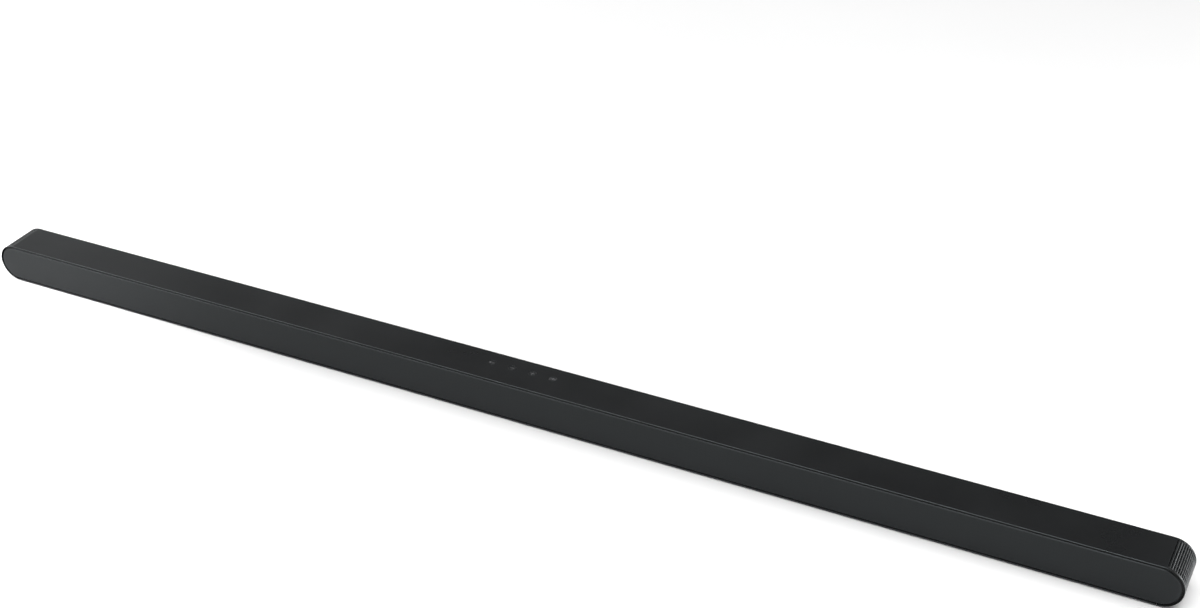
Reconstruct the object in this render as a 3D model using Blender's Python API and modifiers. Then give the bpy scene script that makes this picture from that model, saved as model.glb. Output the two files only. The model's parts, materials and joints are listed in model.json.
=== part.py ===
"""Slim soundbar, built as the separate pieces that it comes apart into.

Metres, +Z up. +X runs along the bar to the right as seen from the front, and the front faces -Y.
The origin is the middle of the underside of the feet. Every piece is its own object; a piece that
moves has its origin, or its parent empty, on its joint's axis.
"""

import math

import bmesh
import bpy
from mathutils import Matrix, Vector

MM = 0.001
GAP = 0.3 * MM  # between pieces that touch on the real object

# Envelope
LENGTH = 1160 * MM
DEPTH = 39.9 * MM
FOOT_DROP = 1.2 * MM  # the feet hold the casing this far off the table
HEIGHT = FOOT_DROP + 38 * MM
FRONT = -DEPTH / 2
REAR = DEPTH / 2

# Casing: a band that is the deck and both round ends, closed below by the bottom cover
WALL = 1.2 * MM
CASING_RADIUS = (HEIGHT - FOOT_DROP) / 2
MID_Z = FOOT_DROP + CASING_RADIUS
TANGENT_X = LENGTH / 2 - CASING_RADIUS
DECK_UNDERSIDE = HEIGHT - WALL
FLOOR_TOP = FOOT_DROP + WALL
END_SLOTS = 15  # sound slots round each end
SLOT_SHARE = 0.45  # of the slot pitch that is open
SLOT_RIM = 2 * MM  # solid band at the front and rear of each end

# Front plates and rear covers
GRILLE_GROOVE = 1.2 * MM
GRILLE_THICKNESS = 1.2 * MM
GRILLE_BEVEL = 0.5 * MM
GRILLE_RADIUS = CASING_RADIUS - WALL - GRILLE_GROOVE
OUTLINE_LOOP = 40  # points round a plate that fills the bar's outline
CLOTH_THICKNESS = 0.4 * MM
CLOTH_FRONT = FRONT + GRILLE_THICKNESS + GAP
BAFFLE_THICKNESS = 2.6 * MM
BAFFLE_FRONT = CLOTH_FRONT + CLOTH_THICKNESS + GAP
BAFFLE_BACK = BAFFLE_FRONT + BAFFLE_THICKNESS
INNER_RADIUS = CASING_RADIUS - WALL - GAP  # of plates that fit inside the band
REAR_COVER_THICKNESS = 2 * MM
REAR_COVER_INNER = REAR - REAR_COVER_THICKNESS
VENTS = 12
VENT_PITCH = 9 * MM
VENT_WIDTH = 2 * MM
VENT_HEIGHT = 12 * MM

# Chassis walls that part the bar into chambers
RIB_THICKNESS = 1.6 * MM
RIB_OVERLAP = 0.4 * MM  # how far a wall runs into the baffle that it is moulded with
RIB_XS = (-0.515, -0.410, -0.272, -0.112, 0.272, 0.410, 0.515)
SCREWED_RIB_XS = (-0.515, -0.272, 0.272, 0.515)
CHASSIS_BOTTOM = FLOOR_TOP + GAP
CHASSIS_TOP = DECK_UNDERSIDE - GAP
CHASSIS_BACK = REAR_COVER_INNER - GAP

# Loudspeaker drivers: radii are about the middle line of each oval, depths from the flange's front
FLANGE_RADIUS = 14 * MM
WELL_RADIUS = 11.9 * MM
BASKET_STEEL = 0.9 * MM
BASKET_DEPTH = 6.6 * MM
NECK_HOLE_RADIUS = 8 * MM
SURROUND_RUBBER = 0.4 * MM
SURROUND_LIP_HEIGHT = GAP + SURROUND_RUBBER / 2
SURROUND_HEIGHT = 1.6 * MM
SURROUND_OUTER_RADIUS = 13 * MM
ROLL_OUTER_RADIUS = 11 * MM
ROLL_INNER_RADIUS = 8.8 * MM
CONE_PAPER = 0.5 * MM
CONE_RADIUS = 8.2 * MM
CONE_NECK_RADIUS = 6.4 * MM
CONE_NECK_DEPTH = 4.4 * MM
DUST_CAP_RISE = 1.8 * MM
FORMER_OUTER_RADIUS = 6.3 * MM
FORMER_INNER_RADIUS = 5.8 * MM
FORMER_DEPTH = 11.5 * MM
MAGNET_RADIUS = 9.5 * MM
MAGNET_TOP_DEPTH = 7.5 * MM
MAGNET_TRENCH_DEPTH = 13.2 * MM
MAGNET_DEPTH = 15.2 * MM
POLE_RADIUS = 5.2 * MM
TOP_PLATE_BORE = 7.1 * MM
SOUND_HOLE_RADIUS = 11.6 * MM
DRIVER_SETBACK = 2 * GAP + SURROUND_RUBBER  # from the panel that a driver hangs on to its flange
OVAL_LOOP = 16  # points round a driver's oval
FRONT_HALF_STRAIGHT = 31 * MM
UP_HALF_STRAIGHT = 17 * MM
FRONT_DRIVER_XS = {"front_left": -0.330, "front_centre": 0.0, "front_right": 0.330}
UP_DRIVER_X = 0.4625
SHELF_THICKNESS = 2.4 * MM
SIDE_WALL_X = 0.543
SIDE_WALL_THICKNESS = 2.4 * MM

# Buttons
BUTTON_NAMES = ("button_multi", "button_volume_down", "button_volume_up", "button_mic")
BUTTON_PITCH = 20.3 * MM
BUTTON_ROW_X = -2.2 * MM
BUTTON_ROW_Y = 4.4 * MM
BUTTON_RADIUS = 3.4 * MM
BUTTON_TOP = HEIGHT - 0.05 * MM
BUTTON_BOTTOM = HEIGHT - 3 * MM
BUTTON_LIP_RADIUS = 4.4 * MM
BUTTON_LIP_TOP = DECK_UNDERSIDE - 0.4 * MM
BUTTON_LIP_BOTTOM = HEIGHT - 2.6 * MM
BUTTON_EDGE = 0.3 * MM
KEY_BOARD_Z = (HEIGHT - 7 * MM, HEIGHT - 5.8 * MM)
KEY_BOARD_HALF_LENGTH = 50 * MM
KEY_BOARD_HALF_DEPTH = 7.5 * MM
SWITCH_HALF = 3 * MM
SWITCH_TOP = HEIGHT - 4.2 * MM
PLUNGER_RADIUS = 1.6 * MM
PLUNGER_TOP = HEIGHT - 3.8 * MM
STANDOFF_RADIUS = 2 * MM

# Socket panel: the middle of the back, with a recess whose sockets face along the bar
PANEL_X = (0.105, 0.270)
BAY_X = (0.120, 0.250)
BAY_Z = (8 * MM, 30 * MM)
BAY_FLOOR_Y = 1 * MM
BAY_WALL = 1.5 * MM
HDMI_Y = (5.9 * MM, 11.9 * MM)
HDMI_Z = (12 * MM, 27.2 * MM)
HDMI_DEPTH = 13 * MM
HDMI_SHELL = 0.55 * MM
HDMI_CAVITY_DEPTH = 11.5 * MM
HDMI_TONGUE_START = 5.2 * MM
HDMI_TONGUE_THICKNESS = 1.8 * MM
JACK_Y = 7.9 * MM
DC_Z = 13.2 * MM
DC_HALF = 4.6 * MM
DC_DEPTH = 13 * MM
DC_BORE_RADIUS = 3.2 * MM
DC_BORE_DEPTH = 9.5 * MM
DC_PIN_RADIUS = 1 * MM
DC_PIN_SETBACK = 1 * MM
OPTICAL_Z = 24.2 * MM
OPTICAL_HALF = 4.9 * MM
OPTICAL_DEPTH = 12.5 * MM
OPTICAL_MOUTH_HALF = 3.4 * MM
OPTICAL_CAVITY_DEPTH = 9 * MM
SHUTTER_THICKNESS = 0.6 * MM
SHUTTER_SETBACK = 1 * MM  # from the mouth to the shutter's pivot line

# Boards
MAIN_BOARD_X = (-0.100, 0.105)
MAIN_BOARD_Y = (12.2 * MM, 13.8 * MM)
MAIN_BOARD_Z = (7.2 * MM, 29.8 * MM)
INPUT_BOARD_X = (0.2518, 0.2690)
INPUT_BOARD_Y = (12.9 * MM, 14.5 * MM)
INPUT_BOARD_Z = (7 * MM, 30 * MM)
SPREADER_X = (-0.095, 0.070)
SPREADER_Z = (9 * MM, 28.6 * MM)
AMPLIFIER_CHIP = (-62 * MM, 7 * MM, 2 * MM)  # each chip's x, half side and height
PROCESSOR_CHIP = (-28 * MM, 7 * MM, 1.6 * MM)
MEMORY_CHIP = (0, 4.5 * MM, 1.4 * MM)
VIDEO_CHIP = (84 * MM, 4 * MM, 1.4 * MM)
CAPACITORS = 3
FIRST_CAPACITOR_X = 30 * MM
CAPACITOR_PITCH = 12 * MM
CAPACITOR_RADIUS = 4 * MM
CAPACITOR_HEIGHT = 7 * MM
EMBED = 0.2 * MM  # how far a soldered or moulded-on shape runs into what carries it

LED_X = 78 * MM
LED_RADIUS = 1.5 * MM
WIRE_Y = 16 * MM
WIRE_Z = 4.9 * MM
WIRE_RADIUS = 1.1 * MM
WIRE_HALF_LENGTH = 0.508

# Feet, screws and wall inserts
FOOT_X = 0.400
FOOT_HALF_LENGTH = 30 * MM
FOOT_HALF_DEPTH = 13 * MM
FOOT_PAD = FOOT_DROP - GAP
PEG_RADIUS = 2 * MM
PEG_SPACING = 40 * MM
PEG_TOP = FLOOR_TOP + 0.8 * MM
SCREW_HEAD_RADIUS = 2.8 * MM
SCREW_HEAD = (0.25 * MM, FOOT_DROP - GAP)
SCREW_SHANK_RADIUS = 1.4 * MM
SCREW_TIP = 10 * MM
BOSS_RADIUS = 3.4 * MM
BOSS_TOP = 12 * MM
INSERT_X = 0.395
INSERT_BORE_RADIUS = 1.7 * MM
INSERT_RADIUS = 3.1 * MM
INSERT_Y = (13.6 * MM, 19.85 * MM)
INSERT_BOSS_RADIUS = 4.8 * MM
INSERT_BOSS_INNER_Y = 12.5 * MM

CLEAR = 5 * MM  # how far a cutter runs past what it cuts


def clear_scene():
    for obj in list(bpy.data.objects):
        bpy.data.objects.remove(obj, do_unlink=True)


def new_collection(name):
    collection = bpy.data.collections.new(name)
    bpy.context.scene.collection.children.link(collection)
    return collection


def new_material(name, colour, roughness, metallic=0.0):
    material = bpy.data.materials.new(name)
    material.use_nodes = True
    shader = material.node_tree.nodes["Principled BSDF"]
    shader.inputs["Base Color"].default_value = (*colour, 1)
    shader.inputs["Roughness"].default_value = roughness
    shader.inputs["Metallic"].default_value = metallic
    return material


clear_scene()
PARTS = new_collection("soundbar")
TOOLS = new_collection("cutters_and_joined_shapes")

CASING_PLASTIC = new_material("casing_plastic", (0.022, 0.022, 0.023), 0.5)
GRILLE_METAL = new_material("grille_metal", (0.035, 0.036, 0.038), 0.42, 0.6)
ACOUSTIC_CLOTH = new_material("acoustic_cloth", (0.008, 0.008, 0.008), 0.95)
CHASSIS_PLASTIC = new_material("chassis_plastic", (0.012, 0.012, 0.012), 0.6)
RUBBER = new_material("rubber", (0.015, 0.015, 0.015), 0.8)
BUTTON_PLASTIC = new_material("button_plastic", (0.025, 0.025, 0.026), 0.4)
CIRCUIT_BOARD = new_material("circuit_board", (0.010, 0.060, 0.030), 0.5)
ALUMINIUM = new_material("aluminium", (0.60, 0.60, 0.62), 0.35, 1.0)
BASKET_METAL = new_material("basket_steel", (0.10, 0.10, 0.11), 0.4, 1.0)
MAGNET_METAL = new_material("magnet_steel", (0.45, 0.45, 0.46), 0.3, 1.0)
CONE_PULP = new_material("cone_pulp", (0.030, 0.030, 0.032), 0.85)
SCREW_STEEL = new_material("screw_steel", (0.05, 0.05, 0.05), 0.35, 1.0)
BRASS = new_material("brass", (0.60, 0.42, 0.15), 0.3, 1.0)
SOCKET_STEEL = new_material("socket_steel", (0.55, 0.55, 0.55), 0.25, 1.0)
SOCKET_PLASTIC = new_material("socket_plastic", (0.010, 0.010, 0.010), 0.45)
LIGHT_PIPE = new_material("light_pipe", (0.80, 0.82, 0.85), 0.2)
WIRE_JACKET = new_material("wire_jacket", (0.020, 0.020, 0.020), 0.6)


# ---- Shapes ---------------------------------------------------------------------------------


def add_object(name, data, material=None, parent=None):
    """An object of the soundbar or, with no material, a hidden shape that cuts or joins one."""
    obj = bpy.data.objects.new(name, data)
    if material:
        PARTS.objects.link(obj)
        data.materials.append(material)
    else:
        TOOLS.objects.link(obj)
        obj.hide_render = True
        obj.display_type = "WIRE"
    obj.parent = parent
    return obj


def mesh_from(name, bm):
    mesh = bpy.data.meshes.new(name)
    bm.to_mesh(mesh)
    bm.free()
    return mesh


def shade_round(mesh):
    mesh.shade_smooth()
    mesh.set_sharp_from_angle(angle=math.radians(35))


def box(name, xs, ys, zs, material=None):
    """A box between two values along each axis."""
    obj = boxes(name, [(xs, ys, zs)], material)
    middle = Vector((sum(xs) / 2, sum(ys) / 2, sum(zs) / 2))
    obj.data.transform(Matrix.Translation(-middle))
    obj.location = middle
    return obj


def boxes(name, spans, material=None):
    """Boxes in one object, each from its (xs, ys, zs)."""
    bm = bmesh.new()
    for xs, ys, zs in spans:
        low, high = (Vector(corner) for corner in zip(xs, ys, zs))
        verts = bmesh.ops.create_cube(bm, size=1)["verts"]
        bmesh.ops.scale(bm, vec=high - low, verts=verts)
        bmesh.ops.translate(bm, vec=(low + high) / 2, verts=verts)
    return add_object(name, mesh_from(name, bm), material)


def cylinder(name, radius, start, end, material=None, segments=16):
    start, end = Vector(start), Vector(end)
    bm = bmesh.new()
    bmesh.ops.create_cone(
        bm,
        cap_ends=True,
        segments=segments,
        radius1=radius,
        radius2=radius,
        depth=(end - start).length,
    )
    mesh = mesh_from(name, bm)
    shade_round(mesh)
    obj = add_object(name, mesh, material)
    obj.location = (start + end) / 2
    obj.rotation_euler = (end - start).to_track_quat("Z", "Y").to_euler()
    return obj


def turned(name, profile, material=None, closed=False, parent=None, steps=16):
    """A solid of revolution about its own Z, from (radius, height) points down its outer side."""
    bm = bmesh.new()
    points = [bm.verts.new((radius, 0, height)) for radius, height in profile]
    for start, end in zip(points, points[1:]):
        bm.edges.new((start, end))
    if closed:
        bm.edges.new((points[-1], points[0]))
    obj = add_object(name, mesh_from(name, bm), material, parent)
    screw = obj.modifiers.new("Turn", "SCREW")
    screw.steps = screw.render_steps = steps
    screw.use_merge_vertices = True
    screw.merge_threshold = 0.01 * MM
    screw.use_smooth_shade = False
    return obj


def oval(half_straight, radius, count):
    """Points round an oval, or round a circle where half_straight is 0, anticlockwise from below."""
    half = count // 2
    shift, span = (0, half - 1) if half_straight else (0.5, half)
    points = []
    for side, turn in ((1, -math.pi / 2), (-1, math.pi / 2)):
        for k in range(half):
            angle = turn + math.pi * (k + shift) / span
            points.append((side * half_straight + radius * math.cos(angle), radius * math.sin(angle)))
    return points


def moved(points, dx, dy):
    return [(x + dx, y + dy) for x, y in points]


def plate(name, outline, y_front, y_back, material=None):
    """A flat plate facing -Y, from the (x, z) points of its edge."""
    curve = bpy.data.curves.new(name, "CURVE")
    curve.dimensions = "2D"
    curve.fill_mode = "BOTH"
    curve.extrude = (y_back - y_front) / 2
    spline = curve.splines.new("POLY")
    spline.points.add(len(outline) - 1)
    for point, (x, z) in zip(spline.points, outline):
        point.co = (x, z, 0, 1)
    spline.use_cyclic_u = True
    drawn = bpy.data.objects.new(name + "_outline", curve)
    drawn.location = (0, (y_front + y_back) / 2, 0)
    drawn.rotation_euler = (math.pi / 2, 0, 0)
    TOOLS.objects.link(drawn)
    bpy.context.view_layer.update()
    graph = bpy.context.evaluated_depsgraph_get()
    mesh = bpy.data.meshes.new_from_object(drawn.evaluated_get(graph))
    bm = bmesh.new()
    bm.from_mesh(mesh)
    bmesh.ops.remove_doubles(bm, verts=bm.verts, dist=0.001 * MM)
    bm.to_mesh(mesh)
    bm.free()
    mesh.name = name
    mesh.materials.clear()
    obj = add_object(name, mesh, material)
    obj.matrix_world = drawn.matrix_world
    bpy.data.objects.remove(drawn)
    return obj


def oval_shell(name, rings, thickness, material, parent, closed_centre=False):
    """A thin shell through rings of (half_straight, radius, height), from the outer edge inwards."""
    bm = bmesh.new()
    loops = []
    for half_straight, radius, height in rings:
        loops.append([bm.verts.new((x, y, height)) for x, y in oval(half_straight, radius, OVAL_LOOP)])
    for outer, inner in zip(loops, loops[1:]):
        for k in range(OVAL_LOOP):
            bm.faces.new((outer[k - 1], outer[k], inner[k], inner[k - 1]))
    if closed_centre:
        bm.faces.new(loops[-1])
    bmesh.ops.recalc_face_normals(bm, faces=bm.faces)
    mesh = mesh_from(name, bm)
    shade_round(mesh)
    obj = add_object(name, mesh, material, parent)
    solidify = obj.modifiers.new("Thickness", "SOLIDIFY")
    solidify.thickness = thickness
    solidify.offset = 0
    solidify.use_even_offset = True
    return obj


def combine(target, operation, shapes):
    for shape in shapes:
        modifier = target.modifiers.new(f"{operation.title()} {shape.name}", "BOOLEAN")
        modifier.operation = operation
        modifier.solver = "EXACT"
        modifier.object = shape
    return target


def cut(target, *shapes):
    return combine(target, "DIFFERENCE", shapes)


def join(target, *shapes):
    return combine(target, "UNION", shapes)


def bevel(obj, width):
    modifier = obj.modifiers.new("Edges", "BEVEL")
    modifier.width = width
    modifier.segments = 1
    modifier.limit_method = "ANGLE"
    modifier.angle_limit = math.radians(50)


def merge_flat_faces(obj):
    """Joins the slivers that cutting leaves in a flat face."""
    modifier = obj.modifiers.new("Flat faces", "DECIMATE")
    modifier.decimate_type = "DISSOLVE"
    modifier.angle_limit = math.radians(0.1)


def along(centre, half):
    return centre - half, centre + half


# ---- Casing ---------------------------------------------------------------------------------


def band_stations():
    """(x, z, opens) along the casing's outline from lower left, over the deck, to lower right.

    opens is True where a slot starts at that station and ends at the next.
    """
    pitch = math.pi / END_SLOTS
    right = []
    for k in range(END_SLOTS):
        start = math.pi / 2 - k * pitch
        for angle, opens in ((start, False), (start - pitch * (1 - SLOT_SHARE), True)):
            x = TANGENT_X + CASING_RADIUS * math.cos(angle)
            right.append((x, MID_Z + CASING_RADIUS * math.sin(angle), opens))
    right.append((TANGENT_X, FOOT_DROP, False))
    left = []
    for i, (x, z, _) in enumerate(reversed(right)):
        before = len(right) - 2 - i
        left.append((-x, z, before >= 0 and right[before][2]))
    return left + right


def casing_band():
    """The deck and both ends in one moulding, with sound slots round the ends and the buttons' holes."""
    rows = (FRONT, FRONT + SLOT_RIM, REAR - SLOT_RIM, REAR)
    stations = band_stations()
    bm = bmesh.new()
    grid = [[bm.verts.new((x, y, z)) for y in rows] for x, z, _ in stations]
    for (_, _, opens), near, far in zip(stations, grid, grid[1:]):
        for row in range(len(rows) - 1):
            if not (opens and row == 1):
                bm.faces.new((near[row], far[row], far[row + 1], near[row + 1]))
    mesh = mesh_from("casing_band", bm)
    shade_round(mesh)
    band = add_object("casing_band", mesh, CASING_PLASTIC)
    solidify = band.modifiers.new("Wall", "SOLIDIFY")
    solidify.thickness = WALL
    solidify.offset = -1
    solidify.use_even_offset = True
    for name, x in zip(BUTTON_NAMES, button_xs()):
        low, high = (x, BUTTON_ROW_Y, DECK_UNDERSIDE - CLEAR), (x, BUTTON_ROW_Y, HEIGHT + CLEAR)
        cut(band, cylinder(name + "_hole", BUTTON_RADIUS + GAP, low, high))
    merge_flat_faces(band)


def front_layers():
    edge = moved(oval(TANGENT_X, GRILLE_RADIUS, OUTLINE_LOOP), 0, MID_Z)
    grille = plate("front_grille", edge, FRONT, FRONT + GRILLE_THICKNESS, GRILLE_METAL)
    bevel(grille, GRILLE_BEVEL)
    wider_edge = moved(oval(TANGENT_X, INNER_RADIUS, OUTLINE_LOOP), 0, MID_Z)
    plate("grille_cloth", wider_edge, CLOTH_FRONT, CLOTH_FRONT + CLOTH_THICKNESS, ACOUSTIC_CLOTH)


def bottom_cover():
    half = TANGENT_X - GAP
    cover = box("bottom_cover", (-half, half), (FRONT, REAR), (FOOT_DROP, FLOOR_TOP), CASING_PLASTIC)
    for x in SCREWED_RIB_XS:
        cut(cover, upright("screw_hole", x, 0, SCREW_SHANK_RADIUS + GAP))
    for x in peg_xs():
        cut(cover, upright("peg_hole", x, 0, PEG_RADIUS + GAP))


def upright(name, x, y, radius):
    """A cutter that drills up through the bottom cover."""
    return cylinder(name, radius, (x, y, FOOT_DROP - CLEAR), (x, y, FLOOR_TOP + CLEAR), segments=12)


def rear_covers():
    """The back on each side of the socket panel. Each has a boss round its wall insert."""
    for side, sign, inner_x in (("left", -1, PANEL_X[0] - GAP), ("right", 1, PANEL_X[1] + GAP)):
        edge = end_outline(sign, inner_x)
        cover = plate(f"rear_cover_{side}", edge, REAR_COVER_INNER, REAR, CASING_PLASTIC)
        x = sign * INSERT_X
        boss = (x, INSERT_BOSS_INNER_Y, MID_Z), (x, REAR_COVER_INNER + EMBED, MID_Z)
        join(cover, cylinder(f"insert_boss_{side}", INSERT_BOSS_RADIUS, *boss))
        bore = (x, INSERT_BOSS_INNER_Y - CLEAR, MID_Z), (x, REAR + CLEAR, MID_Z)
        cut(cover, cylinder(f"insert_bore_{side}", INSERT_RADIUS + GAP, *bore))
        if side == "left":
            cut(cover, amplifier_vents())
        merge_flat_faces(cover)


def end_outline(sign, inner_x):
    """The round end of a plate that fits inside the casing band, closed by an upright line at inner_x."""
    points = [(inner_x, MID_Z - INNER_RADIUS)]
    steps = OUTLINE_LOOP // 2
    for k in range(steps + 1):
        angle = math.pi * (k / steps - 0.5)
        x = sign * (TANGENT_X + INNER_RADIUS * math.cos(angle))
        points.append((x, MID_Z + INNER_RADIUS * math.sin(angle)))
    points.append((inner_x, MID_Z + INNER_RADIUS))
    return points


def amplifier_vents():
    """A cutter for the row of upright slots behind the heat spreader."""
    through = (REAR_COVER_INNER - CLEAR, REAR + CLEAR)
    vents = []
    for k in range(VENTS):
        x = (k - (VENTS - 1) / 2) * VENT_PITCH
        vents.append((along(x, VENT_WIDTH / 2), through, along(MID_Z, VENT_HEIGHT / 2)))
    return boxes("amplifier_vents", vents)


def socket_panel():
    """The middle of the back, with a recess moulded in and windows for the sockets in its end walls."""
    panel_z = along(MID_Z, INNER_RADIUS)
    panel = box("socket_panel", PANEL_X, (REAR_COVER_INNER, REAR), panel_z, CASING_PLASTIC)
    tray_x = (BAY_X[0] - BAY_WALL, BAY_X[1] + BAY_WALL)
    tray_z = (BAY_Z[0] - BAY_WALL, BAY_Z[1] + BAY_WALL)
    join(panel, box("tray", tray_x, (BAY_FLOOR_Y - BAY_WALL, REAR_COVER_INNER + EMBED), tray_z))
    cut(panel, box("bay_hollow", BAY_X, (BAY_FLOOR_Y, REAR + CLEAR), BAY_Z))
    left, right = along(BAY_X[0], CLEAR), along(BAY_X[1], CLEAR)
    cut(panel, box("hdmi_window", left, widened(HDMI_Y), widened(HDMI_Z)))
    for name, z, half in (("dc_window", DC_Z, DC_HALF), ("optical_window", OPTICAL_Z, OPTICAL_HALF)):
        cut(panel, box(name, right, widened(along(JACK_Y, half)), widened(along(z, half))))
    merge_flat_faces(panel)


def widened(span):
    return span[0] - GAP, span[1] + GAP


def feet():
    for side, x in (("left", -FOOT_X), ("right", FOOT_X)):
        spans = along(x, FOOT_HALF_LENGTH), along(0, FOOT_HALF_DEPTH), (0, FOOT_PAD)
        foot = box(f"foot_{side}", *spans, RUBBER)
        for peg_x in along(x, PEG_SPACING / 2):
            low, high = (peg_x, 0, FOOT_PAD - EMBED), (peg_x, 0, PEG_TOP)
            join(foot, cylinder(f"foot_{side}_peg", PEG_RADIUS, low, high, segments=12))


def peg_xs():
    return [x for foot_x in (-FOOT_X, FOOT_X) for x in along(foot_x, PEG_SPACING / 2)]


def screws():
    bottom, top = SCREW_HEAD
    head, shank = SCREW_HEAD_RADIUS, SCREW_SHANK_RADIUS
    profile = [(0, SCREW_TIP), (shank, SCREW_TIP), (shank, top), (head, top), (head, bottom), (0, bottom)]
    for k, x in enumerate(SCREWED_RIB_XS):
        screw = turned(f"bottom_screw_{k + 1}", profile, SCREW_STEEL, steps=12)
        screw.location = (x, 0, 0)


def wall_inserts():
    """Threaded brass bushes in the rear covers, which a wall bracket screws to."""
    length = INSERT_Y[1] - INSERT_Y[0]
    inner, outer = INSERT_BORE_RADIUS, INSERT_RADIUS
    profile = [(inner, length), (outer, length), (outer, 0), (inner, 0)]
    for side, x in (("left", -INSERT_X), ("right", INSERT_X)):
        insert = turned(f"wall_insert_{side}", profile, BRASS, closed=True)
        insert.location = (x, INSERT_Y[1], MID_Z)
        insert.rotation_euler = (math.pi / 2, 0, 0)


# ---- Chassis --------------------------------------------------------------------------------


def chassis():
    """One moulding: the front baffle, chamber walls, driver shelves, end walls and screw bosses."""
    edge = moved(oval(TANGENT_X, INNER_RADIUS, OUTLINE_LOOP), 0, MID_Z)
    body = plate("speaker_chassis", edge, BAFFLE_FRONT, BAFFLE_BACK, CHASSIS_PLASTIC)
    depth = (BAFFLE_BACK - RIB_OVERLAP, CHASSIS_BACK)
    height = (CHASSIS_BOTTOM, CHASSIS_TOP)
    for k, x in enumerate(RIB_XS):
        join(body, box(f"chamber_wall_{k}", along(x, RIB_THICKNESS / 2), depth, height))
    for side, sign in (("left", -1), ("right", 1)):
        ends = sorted((sign * RIB_XS[-2], sign * RIB_XS[-1]))
        shelf = box(f"shelf_{side}", ends, depth, (CHASSIS_TOP - SHELF_THICKNESS, CHASSIS_TOP - EMBED))
        join(body, shelf)
        join(body, box(f"end_wall_{side}", along(sign * SIDE_WALL_X, SIDE_WALL_THICKNESS / 2), depth, height))
    for k, x in enumerate(SCREWED_RIB_XS):
        low, high = (x, 0, CHASSIS_BOTTOM + EMBED), (x, 0, BOSS_TOP)
        join(body, cylinder(f"boss_{k}", BOSS_RADIUS, low, high, segments=12))
    for k, x in enumerate(SCREWED_RIB_XS):
        low, high = (x, 0, CHASSIS_BOTTOM - CLEAR), (x, 0, SCREW_TIP + 1 * MM)
        cut(body, cylinder(f"pilot_{k}", SCREW_SHANK_RADIUS + GAP, low, high, segments=12))
    for name, x in FRONT_DRIVER_XS.items():
        ahead = (x, BAFFLE_BACK, MID_Z)
        cut(body, sound_hole(name + "_hole", ahead, (math.pi / 2, 0, 0), FRONT_HALF_STRAIGHT))
    pipe_hole = (LED_X, BAFFLE_FRONT - CLEAR, MID_Z), (LED_X, BAFFLE_BACK + CLEAR, MID_Z)
    cut(body, cylinder("light_pipe_hole", LED_RADIUS + GAP, *pipe_hole))
    for side, sign in (("left", -1), ("right", 1)):
        above, beside = (sign * UP_DRIVER_X, 0, CHASSIS_TOP), (sign * SIDE_WALL_X, 0, MID_Z)
        cut(body, sound_hole(f"up_hole_{side}", above, (0, 0, 0), UP_HALF_STRAIGHT))
        cut(body, sound_hole(f"side_hole_{side}", beside, (0, sign * math.pi / 2, 0), 0))
    run_x = along(0, WIRE_HALF_LENGTH + CLEAR)
    run_y = (WIRE_Y - 2 * WIRE_RADIUS, CHASSIS_BACK + CLEAR)
    run_z = (CHASSIS_BOTTOM - CLEAR, WIRE_Z + 2 * WIRE_RADIUS)
    cut(body, box("wire_run", run_x, run_y, run_z))
    merge_flat_faces(body)


def sound_hole(name, place, turn, half_straight):
    """A cutter for the hole that a driver sounds through, along its own Z."""
    bm = bmesh.new()
    outline = oval(half_straight, SOUND_HOLE_RADIUS, OVAL_LOOP)
    bottom = bm.faces.new([bm.verts.new((x, y, -CLEAR)) for x, y in outline])
    wall = bmesh.ops.extrude_face_region(bm, geom=[bottom])
    raised = [item for item in wall["geom"] if isinstance(item, bmesh.types.BMVert)]
    bmesh.ops.translate(bm, vec=(0, 0, 2 * CLEAR), verts=raised)
    bmesh.ops.recalc_face_normals(bm, faces=bm.faces)
    cutter = add_object(name, mesh_from(name, bm))
    cutter.location = place
    cutter.rotation_euler = turn
    return cutter


# ---- Loudspeaker drivers --------------------------------------------------------------------


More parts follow.
